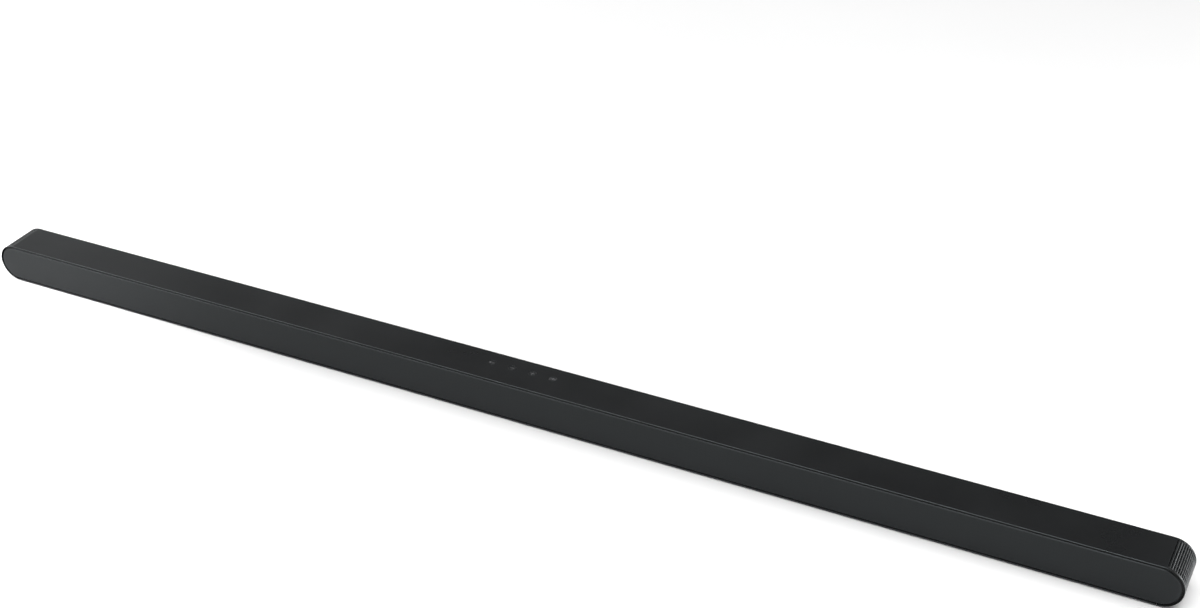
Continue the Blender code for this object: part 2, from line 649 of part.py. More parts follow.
def driver(name, place, turn, half_straight):
    """A loudspeaker about an empty at its flange's front. Its own +Z is the way that it sounds."""
    frame = bpy.data.objects.new(name, None)
    PARTS.objects.link(frame)
    frame.location = place
    frame.rotation_euler = turn
    straight = half_straight
    flange = -BASKET_STEEL / 2
    basket_rings = [
        (straight, FLANGE_RADIUS, flange),
        (straight, WELL_RADIUS, flange),
        (straight, WELL_RADIUS, -BASKET_DEPTH),
        (0, NECK_HOLE_RADIUS, -BASKET_DEPTH),
    ]
    oval_shell(name + "_basket", basket_rings, BASKET_STEEL, BASKET_METAL, frame)
    lip = SURROUND_LIP_HEIGHT
    roll_middle = (ROLL_OUTER_RADIUS + ROLL_INNER_RADIUS) / 2
    roll_half = (ROLL_OUTER_RADIUS - ROLL_INNER_RADIUS) / 2
    surround_rings = [(straight, SURROUND_OUTER_RADIUS, lip)]
    arch_steps = 3
    for k in range(arch_steps + 1):
        angle = math.pi * k / arch_steps
        height = lip + (SURROUND_HEIGHT - lip) * math.sin(angle)
        surround_rings.append((straight, roll_middle + roll_half * math.cos(angle), height))
    oval_shell(name + "_surround", surround_rings, SURROUND_RUBBER, RUBBER, frame)
    cone_rings = [
        (straight, CONE_RADIUS, lip),
        (0, CONE_NECK_RADIUS, -CONE_NECK_DEPTH),
        (0, CONE_NECK_RADIUS * 0.5, -CONE_NECK_DEPTH + DUST_CAP_RISE),
    ]
    cone = oval_shell(name + "_cone", cone_rings, CONE_PAPER, CONE_PULP, frame, closed_centre=True)
    inner, outer, top = FORMER_INNER_RADIUS, FORMER_OUTER_RADIUS, -CONE_NECK_DEPTH + CONE_PAPER / 4
    former = [(inner, top), (outer, top), (outer, -FORMER_DEPTH), (inner, -FORMER_DEPTH)]
    join(cone, turned(name + "_voice_coil", former, closed=True, parent=frame))
    magnet_profile = [
        (0, -MAGNET_TOP_DEPTH),
        (POLE_RADIUS, -MAGNET_TOP_DEPTH),
        (POLE_RADIUS, -MAGNET_TRENCH_DEPTH),
        (TOP_PLATE_BORE, -MAGNET_TRENCH_DEPTH),
        (TOP_PLATE_BORE, -MAGNET_TOP_DEPTH),
        (MAGNET_RADIUS, -MAGNET_TOP_DEPTH),
        (MAGNET_RADIUS, -MAGNET_DEPTH),
        (0, -MAGNET_DEPTH),
    ]
    turned(name + "_magnet", magnet_profile, MAGNET_METAL, parent=frame)


def drivers():
    for name, x in FRONT_DRIVER_XS.items():
        place = (x, BAFFLE_BACK + DRIVER_SETBACK, MID_Z)
        driver(name, place, (math.pi / 2, 0, 0), FRONT_HALF_STRAIGHT)
    for side, sign in (("left", -1), ("right", 1)):
        height = CHASSIS_TOP - SHELF_THICKNESS - DRIVER_SETBACK
        driver(f"up_{side}", (sign * UP_DRIVER_X, 0, height), (0, 0, 0), UP_HALF_STRAIGHT)
        x = SIDE_WALL_X - SIDE_WALL_THICKNESS / 2 - DRIVER_SETBACK
        driver(f"side_{side}", (sign * x, 0, MID_Z), (0, sign * math.pi / 2, 0), 0)


# ---- Controls -------------------------------------------------------------------------------


def button_xs():
    middle = (len(BUTTON_NAMES) - 1) / 2
    return [BUTTON_ROW_X + (k - middle) * BUTTON_PITCH for k in range(len(BUTTON_NAMES))]


def buttons():
    """Caps that stand in holes in the deck, each kept in by a lip under it."""
    edge = BUTTON_EDGE
    profile = [
        (0, BUTTON_TOP),
        (BUTTON_RADIUS - edge, BUTTON_TOP),
        (BUTTON_RADIUS, BUTTON_TOP - edge),
        (BUTTON_RADIUS, BUTTON_LIP_TOP),
        (BUTTON_LIP_RADIUS, BUTTON_LIP_TOP),
        (BUTTON_LIP_RADIUS, BUTTON_LIP_BOTTOM),
        (PLUNGER_RADIUS, BUTTON_LIP_BOTTOM),
        (PLUNGER_RADIUS, BUTTON_BOTTOM),
        (0, BUTTON_BOTTOM),
    ]
    for name, x in zip(BUTTON_NAMES, button_xs()):
        cap = turned(name, profile, BUTTON_PLASTIC)
        cap.location = (x, BUTTON_ROW_Y, 0)


def key_board():
    """The board under the buttons, with a switch for each and two standoffs up to the deck."""
    bottom, top = KEY_BOARD_Z
    spans = along(BUTTON_ROW_X, KEY_BOARD_HALF_LENGTH), along(BUTTON_ROW_Y, KEY_BOARD_HALF_DEPTH)
    board = box("key_board", *spans, KEY_BOARD_Z, CIRCUIT_BOARD)
    for name, x in zip(BUTTON_NAMES, button_xs()):
        switch_spans = along(x, SWITCH_HALF), along(BUTTON_ROW_Y, SWITCH_HALF)
        join(board, box(name + "_switch", *switch_spans, (top - EMBED, SWITCH_TOP)))
        low, high = (x, BUTTON_ROW_Y, SWITCH_TOP - EMBED), (x, BUTTON_ROW_Y, PLUNGER_TOP)
        join(board, cylinder(name + "_plunger", PLUNGER_RADIUS, low, high, segments=12))
    inset = KEY_BOARD_HALF_LENGTH - 2 * STANDOFF_RADIUS
    for side, x in zip(("left", "right"), along(BUTTON_ROW_X, inset)):
        low, high = (x, BUTTON_ROW_Y, bottom + EMBED), (x, BUTTON_ROW_Y, CHASSIS_TOP)
        join(board, cylinder(f"standoff_{side}", STANDOFF_RADIUS, low, high, segments=12))


# ---- Electronics ----------------------------------------------------------------------------


def main_board():
    front = MAIN_BOARD_Y[0] + EMBED
    board = box("main_board", MAIN_BOARD_X, MAIN_BOARD_Y, MAIN_BOARD_Z, CIRCUIT_BOARD)
    chips = []
    for x, half, height in AMPLIFIER_CHIP, PROCESSOR_CHIP, MEMORY_CHIP, VIDEO_CHIP:
        chips.append((along(x, half), (front - height, front), along(MID_Z, half)))
    join(board, boxes("chips", chips))
    for k in range(CAPACITORS):
        x = FIRST_CAPACITOR_X + k * CAPACITOR_PITCH
        ends = (x, front, MID_Z), (x, front - CAPACITOR_HEIGHT, MID_Z)
        join(board, cylinder(f"capacitor_{k}", CAPACITOR_RADIUS, *ends, segments=12))


def heat_spreader():
    back_of_board = MAIN_BOARD_Y[1] + GAP
    plate_y, fin_tip = (back_of_board, back_of_board + 1.4 * MM), CHASSIS_BACK
    spreader = box("heat_spreader", SPREADER_X, plate_y, SPREADER_Z, ALUMINIUM)
    fins, fin_half, fin_pitch = 5, 0.6 * MM, 4.4 * MM
    middle = sum(SPREADER_Z) / 2
    fin_spans = []
    for k in range(fins):
        z = middle + (k - (fins - 1) / 2) * fin_pitch
        fin_spans.append((shrunk(SPREADER_X, 1 * MM), (plate_y[1] - EMBED, fin_tip), along(z, fin_half)))
    join(spreader, boxes("fins", fin_spans))


def hdmi_socket():
    mouth, back = BAY_X[0], BAY_X[0] - HDMI_DEPTH
    socket = box("hdmi_socket", (back, mouth), HDMI_Y, HDMI_Z, SOCKET_STEEL)
    cavity_y, cavity_z = shrunk(HDMI_Y, HDMI_SHELL), shrunk(HDMI_Z, HDMI_SHELL)
    cavity_end = mouth - HDMI_CAVITY_DEPTH
    cut(socket, box("hdmi_cavity", (cavity_end, mouth + CLEAR), cavity_y, cavity_z))
    tongue_y = along(sum(HDMI_Y) / 2, HDMI_TONGUE_THICKNESS / 2)
    tongue_x = (cavity_end - EMBED, mouth - HDMI_TONGUE_START)
    join(socket, box("hdmi_tongue", tongue_x, tongue_y, shrunk(HDMI_Z, 1.6 * MM)))


def shrunk(span, by):
    return span[0] + by, span[1] - by


def dc_jack():
    mouth = BAY_X[1]
    spans = along(JACK_Y, DC_HALF), along(DC_Z, DC_HALF)
    jack = box("dc_jack", (mouth, mouth + DC_DEPTH), *spans, SOCKET_PLASTIC)
    bore_end = mouth + DC_BORE_DEPTH
    bore = (mouth - CLEAR, JACK_Y, DC_Z), (bore_end, JACK_Y, DC_Z)
    cut(jack, cylinder("dc_bore", DC_BORE_RADIUS, *bore))
    pin = (mouth + DC_PIN_SETBACK, JACK_Y, DC_Z), (bore_end + EMBED, JACK_Y, DC_Z)
    join(jack, cylinder("dc_pin", DC_PIN_RADIUS, *pin, segments=12))


def optical_socket():
    """The socket and the sprung shutter that closes its mouth. The shutter swings in about its top edge."""
    mouth = BAY_X[1]
    spans = along(JACK_Y, OPTICAL_HALF), along(OPTICAL_Z, OPTICAL_HALF)
    socket = box("optical_socket", (mouth, mouth + OPTICAL_DEPTH), *spans, SOCKET_PLASTIC)
    cavity = along(JACK_Y, OPTICAL_MOUTH_HALF), along(OPTICAL_Z, OPTICAL_MOUTH_HALF)
    cut(socket, box("optical_cavity", (mouth - CLEAR, mouth + OPTICAL_CAVITY_DEPTH), *cavity))
    pivot = Vector((mouth + SHUTTER_SETBACK, JACK_Y, OPTICAL_Z + OPTICAL_MOUTH_HALF - 2 * SHUTTER_THICKNESS))
    half = SHUTTER_THICKNESS / 2
    clear_half = OPTICAL_MOUTH_HALF - GAP
    drop = pivot.z - (OPTICAL_Z - clear_half)
    shutter = box("optical_shutter", (-half, half), (-clear_half, clear_half), (-drop, half), SOCKET_PLASTIC)
    shutter.data.transform(shutter.matrix_basis)
    shutter.location = pivot


def input_board():
    """The small board that the power and optical sockets are soldered to."""
    box("input_board", INPUT_BOARD_X, INPUT_BOARD_Y, INPUT_BOARD_Z, CIRCUIT_BOARD)


def wireless_module():
    spans = along(-0.165, 13 * MM), along(MID_Z, 9 * MM)
    module = box("wireless_module", spans[0], (14 * MM, 15.2 * MM), spans[1], CIRCUIT_BOARD)
    can = box("wireless_can", along(-0.169, 7 * MM), (12 * MM, 14 * MM + EMBED), along(MID_Z, 7 * MM))
    join(module, can)


def status_light_pipe():
    start, end = (LED_X, BAFFLE_FRONT + EMBED, MID_Z), (LED_X, BAFFLE_BACK + 6 * MM, MID_Z)
    cylinder("status_light_pipe", LED_RADIUS, start, end, LIGHT_PIPE, segments=14)


def speaker_harness():
    """The wire bundle that runs along the bottom at the back, through the notches in the chamber walls."""
    curve = bpy.data.curves.new("speaker_harness", "CURVE")
    curve.dimensions = "3D"
    curve.bevel_depth = WIRE_RADIUS
    curve.bevel_resolution = 1
    curve.use_fill_caps = True
    spline = curve.splines.new("POLY")
    points, wave, waves = 33, 0.25 * MM, 9
    spline.points.add(points - 1)
    for k, point in enumerate(spline.points):
        share = k / (points - 1)
        x = (2 * share - 1) * WIRE_HALF_LENGTH
        sway = wave * math.sin(2 * math.pi * waves * share)
        point.co = (x, WIRE_Y + sway, WIRE_Z - sway, 1)
    add_object("speaker_harness", curve, WIRE_JACKET)


casing_band()
front_layers()
bottom_cover()
rear_covers()
socket_panel()
feet()
screws()
wall_inserts()
chassis()
drivers()
buttons()
key_board()
main_board()
heat_spreader()
hdmi_socket()
dc_jack()
optical_socket()
input_board()
wireless_module()
status_light_pipe()
speaker_harness()
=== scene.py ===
import json
import math

import bmesh
import bpy
from mathutils import Matrix, Vector


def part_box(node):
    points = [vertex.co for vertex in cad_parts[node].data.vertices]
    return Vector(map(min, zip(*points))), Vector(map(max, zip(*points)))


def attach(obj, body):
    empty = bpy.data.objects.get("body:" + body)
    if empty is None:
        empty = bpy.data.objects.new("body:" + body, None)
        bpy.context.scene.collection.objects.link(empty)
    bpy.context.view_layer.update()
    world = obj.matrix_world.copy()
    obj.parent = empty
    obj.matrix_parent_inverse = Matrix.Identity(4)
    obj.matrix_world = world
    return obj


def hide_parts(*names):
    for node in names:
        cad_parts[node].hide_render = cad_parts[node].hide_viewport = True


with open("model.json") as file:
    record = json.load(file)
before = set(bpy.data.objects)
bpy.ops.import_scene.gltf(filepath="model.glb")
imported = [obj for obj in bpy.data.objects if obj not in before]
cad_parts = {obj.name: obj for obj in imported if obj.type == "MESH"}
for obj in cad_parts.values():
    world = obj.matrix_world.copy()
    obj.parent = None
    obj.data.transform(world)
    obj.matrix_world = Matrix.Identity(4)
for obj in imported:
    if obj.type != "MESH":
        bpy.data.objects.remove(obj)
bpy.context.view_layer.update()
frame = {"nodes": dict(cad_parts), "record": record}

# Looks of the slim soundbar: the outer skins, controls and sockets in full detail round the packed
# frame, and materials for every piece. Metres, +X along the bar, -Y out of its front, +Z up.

MM = 0.001


# ---- Places taken from the frame ------------------------------------------------------------

band_low, band_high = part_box("casing_band")
grille_low, grille_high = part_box("front_grille")
cloth_low, cloth_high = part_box("grille_cloth")
cover_low, cover_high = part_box("bottom_cover")
rear_low, rear_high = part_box("rear_cover_left")
panel_low, panel_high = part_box("socket_panel")
hdmi_low, hdmi_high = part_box("hdmi_socket")
dc_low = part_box("dc_jack")[0]

FRONT, REAR = band_low.y, band_high.y
RADIUS = (band_high.z - band_low.z) / 2
MID_Z = (band_high.z + band_low.z) / 2
TANGENT_X = band_high.x - RADIUS
WALL = cover_high.z - cover_low.z  # the casing is as thick as its bottom cover
GAP = 0.3 * MM  # round the screws, pegs and sockets in their holes

# Casing ends
END_COLUMNS = 27  # round each end, one flute each
END_PLAIN = 1  # columns next to the deck that have no flute
END_ROWS = 5  # slots in the bottom of each flute
END_MARGIN = 1.7 * MM  # solid rim in front of the slots and behind them
FLUTE_DEPTH = 0.45 * MM
FLUTE_FADE = math.radians(32)  # arc over which the flutes deepen, from the deck and from the underside
RIDGE_WIDTH = 0.64  # of a flute, between the shoulders of its ridges
RIDGE_SINK = 0.3  # of the flute's depth, at a shoulder
SLOT_WIDTH = 0.34  # of a flute
SLOT_LENGTH = 0.94  # of the pitch of the slots
SLOT_ROUND = 0.04  # of the pitch of the slots, at a slot's ends
RIM_CHAMFER = 0.22 * MM  # of the casing's front and rear edges
RIM_FLAT = 0.15 * MM  # flat face of a rim, before it slopes in to the groove
RIM_SLOPE = 2  # along y, for one through the wall
DECK_SOFTEN = 0.06 * MM  # of the edges of the deck's holes
WELD = 0.002 * MM  # points nearer than this are one point

# Grille
GRILLE_RADIUS = (grille_high.z - grille_low.z) / 2
GRILLE_PITCH = 2.0 * MM
GRILLE_ROW = 1.75 * MM
GRILLE_BORDER = 1.1 * MM  # least distance from the holes' cells to the edge
GRILLE_HOLE = 0.52 * MM  # from a hexagonal hole's middle to its corners
GRILLE_EDGE = 0.5 * MM  # chamfer

# Buttons
BUTTONS = ("button_multi", "button_volume_down", "button_volume_up", "button_mic")
CAP_STEPS = 40
CAP_RADIUS = 3.45 * MM
CAP_GAP = 0.12 * MM  # round a cap, at the top of the deck
CAP_EDGE = 0.12 * MM
CAP_EDGE_SAG = 0.3  # of the edge, halfway round it
CAP_LAND = 0.06 * MM  # flat ring between the dish and the edge
CAP_DISH = 0.12 * MM
DISH_CURVE = ((0, 1), (0.5, 0.75), (0.8, 0.2))  # (share of the cap's radius, share of the dish's depth)
LIP_RADIUS = 4.4 * MM
LIP_DROP = 1.6 * MM  # from the cap's top to the lip's top
LIP_BOTTOM_DROP = 2.55 * MM
STEM_RADIUS = 1.6 * MM

# Marks on the buttons
MARK_WIDTH = 0.5 * MM
MARK_REACH = 1.9 * MM  # of the minus and the plus, each way
MARK_RISE = 0.03 * MM
MARK_DEPTH = 0.2 * MM
MARK_SOFTEN = 0.02 * MM
FINE_WEIGHT = 0.7  # of the mark width: the dash and the sound waves
MINUS_WEIGHT = 0.8
PLUS_WEIGHT = 0.9
DOT_X = -1.6 * MM
DOT_RADIUS = 0.95 * MM
DASH_END = 2.4 * MM
CAPSULE_ENDS = (-0.4 * MM, 0.8 * MM)
CAPSULE_WIDTH = 1.3 * MM
WAVES = ((1.7 * MM, 45), (2.8 * MM, 38))  # (radius, degrees to each side) of the sound waves

# Back
REAR_RADIUS = (rear_high.z - rear_low.z) / 2
REAR_THICKNESS = 2 * MM
REAR_SOFTEN = 0.5 * MM
VENTS = 12
VENT_PITCH = 9 * MM
VENT_WIDTH = 2 * MM
VENT_HEIGHT = 12 * MM
VENT_CORNER = 0.49 * VENT_WIDTH
BOSS_RADIUS = 4.8 * MM
INSERT_HOLE_RADIUS = 3.4 * MM
INSERT_BORE = 0.55  # of the insert's radius
INSERT_CHAMFER = 0.3 * MM
INSERT_MOUTH = 0.5 * MM  # by which the bore widens at its face
THREAD_TURNS = 11
THREAD_DEPTH = 0.25 * MM

# Recess for the sockets
BAY_X = (hdmi_high.x, dc_low.x)
BAY_Z = (8 * MM, 30 * MM)
BAY_FLOOR_Y = 1 * MM
BAY_WALL = 1.5 * MM
BAY_CORNER = 1.5 * MM
WINDOW_CORNER = 0.8 * MM
WINDOW_SOFTEN = 0.25 * MM

# Sockets
HDMI_SHELL = 0.55 * MM
HDMI_ROUND = 0.7 * MM  # of the shell's outside
HDMI_SOFTEN = 0.15 * MM
HDMI_CAVITY = 11.5 * MM
HDMI_CORNER = 1.5 * MM  # cut off the mouth
TONGUE_SINK = 4.2 * MM  # of the tongue's tip behind the mouth
TONGUE_SHIFT = -0.4 * MM  # off the middle, along y
TONGUE_SIZE = (1.8 * MM, 12 * MM)
TONGUE_SOFTEN = 0.3 * MM
CONTACTS = 19
CONTACT_PITCH = 0.58 * MM
CONTACT_SIZE = (0.12 * MM, 0.4 * MM)
CONTACT_SINK = 0.5 * MM  # behind the tongue's tip
BLOCK_CORNER = 0.6 * MM  # of the power and optical sockets' blocks
BLOCK_SOFTEN = 0.3 * MM
DC_BORE_RADIUS = 3.2 * MM
DC_BORE_DEPTH = 9.5 * MM
DC_SLEEVE_WALL = 0.35 * MM
DC_SLEEVE_SINK = (0.9 * MM, 1.2 * MM)  # of the sleeve's outside and inside, behind the face
DC_PIN_RADIUS = 1 * MM
DC_PIN_NOSE = ((0, 2 * MM), (0.7, 2.1 * MM), (1, 2.6 * MM))  # (share of its radius, depth)
OPTICAL_MOUTH = 6.8 * MM
OPTICAL_CORNER = 0.9 * MM  # cut off the mouth's upper corners
OPTICAL_CAVITY = 9 * MM
FLAP_CORNER = 0.5 * MM
FLAP_BORDER = 1 * MM
FLAP_HINGE_BORDER = 1.4 * MM
FLAP_WINDOW_CORNER = 0.6 * MM
FLAP_WINDOW_DEPTH = 0.4  # of the flap's thickness
FLAP_SOFTEN = 0.1 * MM

# Underside
COVER_SOFTEN = 0.4 * MM
PAD_HEIGHT = 0.9 * MM
PAD_ROUND = 4 * MM
PAD_SOFTEN = 0.2 * MM
TREADS = 5
TREAD_DEPTH = 0.35 * MM
TREAD_WIDTH = 0.6  # of the pitch of the treads
TREAD_CORNER = 1 * MM
TREAD_SOFTEN = 0.15 * MM
TREAD_INSET = 0.5  # of the pad's rounding, at both ends of a tread
OUTER_TREAD_INSET = 0.9
OVERLAP = 0.05 * MM  # of the treads and pegs with the pad
PEG_SPACING = 40 * MM
PEG_RADIUS = 2 * MM
SCREW_SHANK_RADIUS = 1.4 * MM
SCREW_HEAD = 0.65 * MM
SCREW_SOFTEN = 0.25 * MM
CROSS_DEPTH = 0.7  # of the head's thickness
CROSS_REACH = 1.6 * MM
CROSS_WIDTH = 0.55 * MM

# Fineness
SOFT_STEPS = 3  # of each softened edge
END_STEPS = 24  # round each end of a long outline
TURN_STEPS = 32  # round a turned piece
LOOP_STEPS = 24  # round a smaller hole, peg or dot
SHARP_ANGLE = math.radians(40)  # edges sharper than this aren't smoothed
LEAST_COSINE = 0.3  # of half a corner's turn, which limits how far inset() moves a sharp corner


# ---- Mesh helpers ---------------------------------------------------------------------------


def finish_mesh(name, bm, material, body="root"):
    """The object of a mesh, shaded, given its material and riding on its body."""
    bmesh.ops.recalc_face_normals(bm, faces=bm.faces)
    mesh = bpy.data.meshes.new(name)
    bm.to_mesh(mesh)
    bm.free()
    mesh.shade_smooth()
    mesh.set_sharp_from_angle(angle=SHARP_ANGLE)
    mesh.materials.append(material)
    obj = bpy.data.objects.new(name, mesh)
    bpy.context.scene.collection.objects.link(obj)
    weighted = obj.modifiers.new("Normals", "WEIGHTED_NORMAL")
    weighted.keep_sharp = True
    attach(obj, body)
    return obj


def ring(bm, points):
    """Vertices at points."""
    return [bm.verts.new(point) for point in points]


def bridge(bm, first, second, closed=True):
    """Quads between two rows of vertices of the same length."""
    count = len(first)
    for k in range(count if closed else count - 1):
        following = (k + 1) % count
        bm.faces.new((first[k], first[following], second[following], second[k]))


def fill_between(bm, loops):
    """Faces over a flat area whose first loop is its edge and whose other loops are holes."""
    edges = []
    for loop in loops:
        for start, end in zip(loop, loop[1:] + loop[:1]):
            edges.append(bm.edges.get((start, end)) or bm.edges.new((start, end)))
    bmesh.ops.triangle_fill(bm, edges=edges, use_beauty=True)


def inset(loop, distance):
    """A closed loop of (u, v) moved to its left, which is into it when it runs anticlockwise."""
    points = []
    for before, here, after in zip(loop[-1:] + loop[:-1], loop, loop[1:] + loop[:1]):
        here = Vector(here)
        first, second = (here - Vector(before)).normalized(), (Vector(after) - here).normalized()
        left = Vector((-first.y, first.x))
        middle = (left + Vector((-second.y, second.x))).normalized()
        points.append(here + middle * distance / max(middle.dot(left), LEAST_COSINE))
    return points


def slab(bm, place, outline, holes, depth, soften):
    """A plate whose face has softened edges. place(u, v, w) is the point w behind the face at (u, v)."""
    faces, backs = [], []
    for sign, loop in [(1, outline)] + [(-1, hole) for hole in holes]:
        rows = []
        for k in range(SOFT_STEPS + 1):
            angle = math.pi / 2 * k / SOFT_STEPS
            edge = inset(loop, sign * soften * (1 - math.sin(angle)))
            rows.append(ring(bm, [place(u, v, soften * (1 - math.cos(angle))) for u, v in edge]))
        rows.append(ring(bm, [place(u, v, depth) for u, v in loop]))
        for near, far in zip(rows, rows[1:]):
            bridge(bm, near, far)
        faces.append(rows[0])
        backs.append(rows[-1])
    fill_between(bm, faces)
    fill_between(bm, backs)


def turned(bm, place, profile, steps=TURN_STEPS):
    """A solid of revolution of a closed or axis-to-axis profile of (radius, w)."""
    rows = []
    for radius, w in profile:
        count = steps if radius > 0 else 1
        angles = [2 * math.pi * k / steps for k in range(count)]
        rows.append(ring(bm, [place(radius * math.cos(a), radius * math.sin(a), w) for a in angles]))
    for near, far in zip(rows, rows[1:]):
        if len(near) > 1 and len(far) > 1:
            bridge(bm, near, far)
            continue
        tip, edge = (near[0], far) if len(near) == 1 else (far[0], near)
        for start, end in zip(edge, edge[1:] + edge[:1]):
            bm.faces.new((tip, start, end))
    if len(rows[0]) > 1:
        bridge(bm, rows[-1], rows[0])


def round_loop(u, v, radius, steps=LOOP_STEPS):
    angles = [2 * math.pi * k / steps for k in range(steps)]
    return [(u + radius * math.cos(a), v + radius * math.sin(a)) for a in angles]


def rectangle(u_span, v_span, corner=0.0, steps=4):
    """An anticlockwise loop, with rounded corners if corner isn't zero."""
    low_u, high_u = u_span
    low_v, high_v = v_span
    if not corner:
        return [(low_u, low_v), (high_u, low_v), (high_u, high_v), (low_u, high_v)]
    points = []
    centres = inset(rectangle(u_span, v_span), corner)
    for quarter, centre in enumerate(centres):
        for k in range(steps + 1):
            angle = math.pi / 2 * (quarter - 2 + k / steps)
            points.append((centre.x + corner * math.cos(angle), centre.y + corner * math.sin(angle)))
    return points


def cross_loop(centre, reach, half):
    """The outline of an upright cross whose arms are twice half wide."""
    points = []
    for cos, sin in ((1, 0), (0, 1), (-1, 0), (0, -1)):
        for u, v in ((reach, -half), (reach, half), (half, half)):
            points.append((centre[0] + u * cos - v * sin, centre[1] + u * sin + v * cos))
    return points


def on_back(y):
    """Places on a face at y that looks out of the back."""
    return lambda u, v, w: (u, y - w, v)


def on_underside(z):
    return lambda u, v, w: (u, v, z + w)


def on_upper(z):
    return lambda u, v, w: (u, v, z - w)


def facing_right(x):
    return lambda u, v, w: (x - w, u, v)


def facing_left(x):
    return lambda u, v, w: (x + w, u, v)


def moved(place, du, dv):
    """The same places with their origin at (du, dv)."""
    return lambda u, v, w: place(u + du, v + dv, w)


def span(middle, width):
    return middle - width / 2, middle + width / 2


def middle_of(name):
    low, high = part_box(name)
    return (low + high) / 2


def round_end(side, radius):
    """(x, z) points round one end of the bar at a radius, anticlockwise between its tangents."""
    points = []
    for k in range(END_STEPS + 1):
        angle = -side * math.pi / 2 + math.pi * k / END_STEPS
        points.append((side * TANGENT_X + radius * math.cos(angle), MID_Z + radius * math.sin(angle)))
    return points


def stadium(radius):
    """(x, z) points round the whole outline at a radius, anticlockwise from the lower right."""
    return round_end(1, radius) + round_end(-1, radius)


# ---- Materials ------------------------------------------------------------------------------


class Nodes:
    """A material's node tree with a Principled shader, built a node at a time."""

    def __init__(self, name, roughness, metallic=0.0):
        self.material = bpy.data.materials.new(name)
        self.material.use_nodes = True
        self.tree = self.material.node_tree
        self.shader = self.tree.nodes["Principled BSDF"]
        self.shader.inputs["Roughness"].default_value = roughness
        self.shader.inputs["Metallic"].default_value = metallic
        self.place = self.tree.nodes.new("ShaderNodeTexCoord").outputs["Object"]

    def add(self, kind, inputs=None, **settings):
        """A node whose inputs are linked to an output or set to a value."""
        node = self.tree.nodes.new(kind)
        for key, value in settings.items():
            setattr(node, key, value)
        for key, value in (inputs or {}).items():
            if isinstance(value, bpy.types.NodeSocket):
                self.tree.links.new(value, node.inputs[key])
            else:
                node.inputs[key].default_value = value
        return node

    def link(self, output, key):
        self.tree.links.new(output, self.shader.inputs[key])

    def noise(self, scale, detail=2.0, stretch=(1, 1, 1)):
        """Noise with about scale cells to the metre."""
        at = self.place
        if stretch != (1, 1, 1):
            at = self.add("ShaderNodeMapping", {"Vector": at, "Scale": stretch}).outputs["Vector"]
        inputs = {"Vector": at, "Scale": scale, "Detail": detail}
        return self.add("ShaderNodeTexNoise", inputs).outputs["Fac"]

    def spread(self, value, low, high, low_out, high_out):
        """The value mapped from one range to another."""
        names = ("Value", "From Min", "From Max", "To Min", "To Max")
        inputs = dict(zip(names, (value, low, high, low_out, high_out)))
        return self.add("ShaderNodeMapRange", inputs).outputs["Result"]

    def colours(self, value, first, second, low=0.3, high=0.7):
        """Base colour between two colours as value goes from low to high."""
        ramp = self.add("ShaderNodeValToRGB", {"Fac": value})
        for element, position, colour in zip(ramp.color_ramp.elements, (low, high), (first, second)):
            element.position = position
            element.color = (*colour, 1)
        self.link(ramp.outputs["Color"], "Base Color")

    def bump(self, value, strength, distance):
        inputs = {"Height": value, "Strength": strength, "Distance": distance}
        self.link(self.add("ShaderNodeBump", inputs).outputs["Normal"], "Normal")


COOL_GLOSS = (0.87, 0.96, 1, 1)  # tint of what the plastic and the paint reflect
WAVE_PHASE = 20  # radians to the metre in a wave texture of scale 1


def tinted(colour, share):
    return tuple(channel * share for channel in colour)


def moulded(name, colour, roughness, grain=3500, variation=0.12):
    """Spark-eroded plastic: a fine grain, and slow changes of tone and gloss."""
    nodes = Nodes(name, roughness)
    nodes.shader.inputs["Specular Tint"].default_value = COOL_GLOSS
    slow = nodes.noise(14, 4)
    nodes.colours(slow, tinted(colour, 1 - variation), tinted(colour, 1 + variation))
    fine = nodes.noise(grain, 3)
    nodes.link(nodes.spread(slow, 0.3, 0.7, roughness - 0.02, roughness + 0.03), "Roughness")
    nodes.bump(fine, 0.25, 0.05 * MM)
    return nodes.material


def painted(name, colour, roughness, gloss):
    """Powder-coated sheet with a fine orange-peel surface."""
    nodes = Nodes(name, roughness)
    nodes.shader.inputs["Specular IOR Level"].default_value = gloss
    nodes.shader.inputs["Specular Tint"].default_value = COOL_GLOSS
    slow = nodes.noise(9, 4)
    nodes.colours(slow, tinted(colour, 0.92), tinted(colour, 1.08))
    nodes.link(nodes.spread(slow, 0.3, 0.7, roughness - 0.03, roughness + 0.04), "Roughness")
    nodes.bump(nodes.noise(1800, 3), 0.15, 0.04 * MM)
    return nodes.material


def woven(name, colour, pitch):
    """Acoustic cloth: two crossing sets of threads, pitch apart."""
    nodes = Nodes(name, 0.95)
    heights = []
    for axis in ("X", "Z"):
        scale = math.tau / (WAVE_PHASE * pitch)
        inputs = {"Vector": nodes.place, "Scale": scale, "Distortion": 0.4}
        wave = nodes.add("ShaderNodeTexWave", inputs, bands_direction=axis)
        heights.append(wave.outputs["Fac"])
    higher = nodes.add("ShaderNodeMath", dict(enumerate(heights)), operation="MAXIMUM")
    height = higher.outputs["Value"]
    nodes.colours(height, tinted(colour, 0.5), tinted(colour, 1.3), 0.1, 0.9)
    nodes.bump(height, 0.5, 0.1 * MM)
    nodes.shader.inputs["Sheen Weight"].default_value = 0.2
    return nodes.material


def brushed(name, colour, roughness, stretch):
    """Metal with fine scratches along its length."""
    nodes = Nodes(name, roughness, 1.0)
    lines = nodes.noise(900, 4, stretch)
    nodes.colours(lines, tinted(colour, 0.8), tinted(colour, 1.1))
    nodes.link(nodes.spread(lines, 0.3, 0.7, roughness - 0.08, roughness + 0.1), "Roughness")
    nodes.bump(lines, 0.1, 0.03 * MM)
    return nodes.material


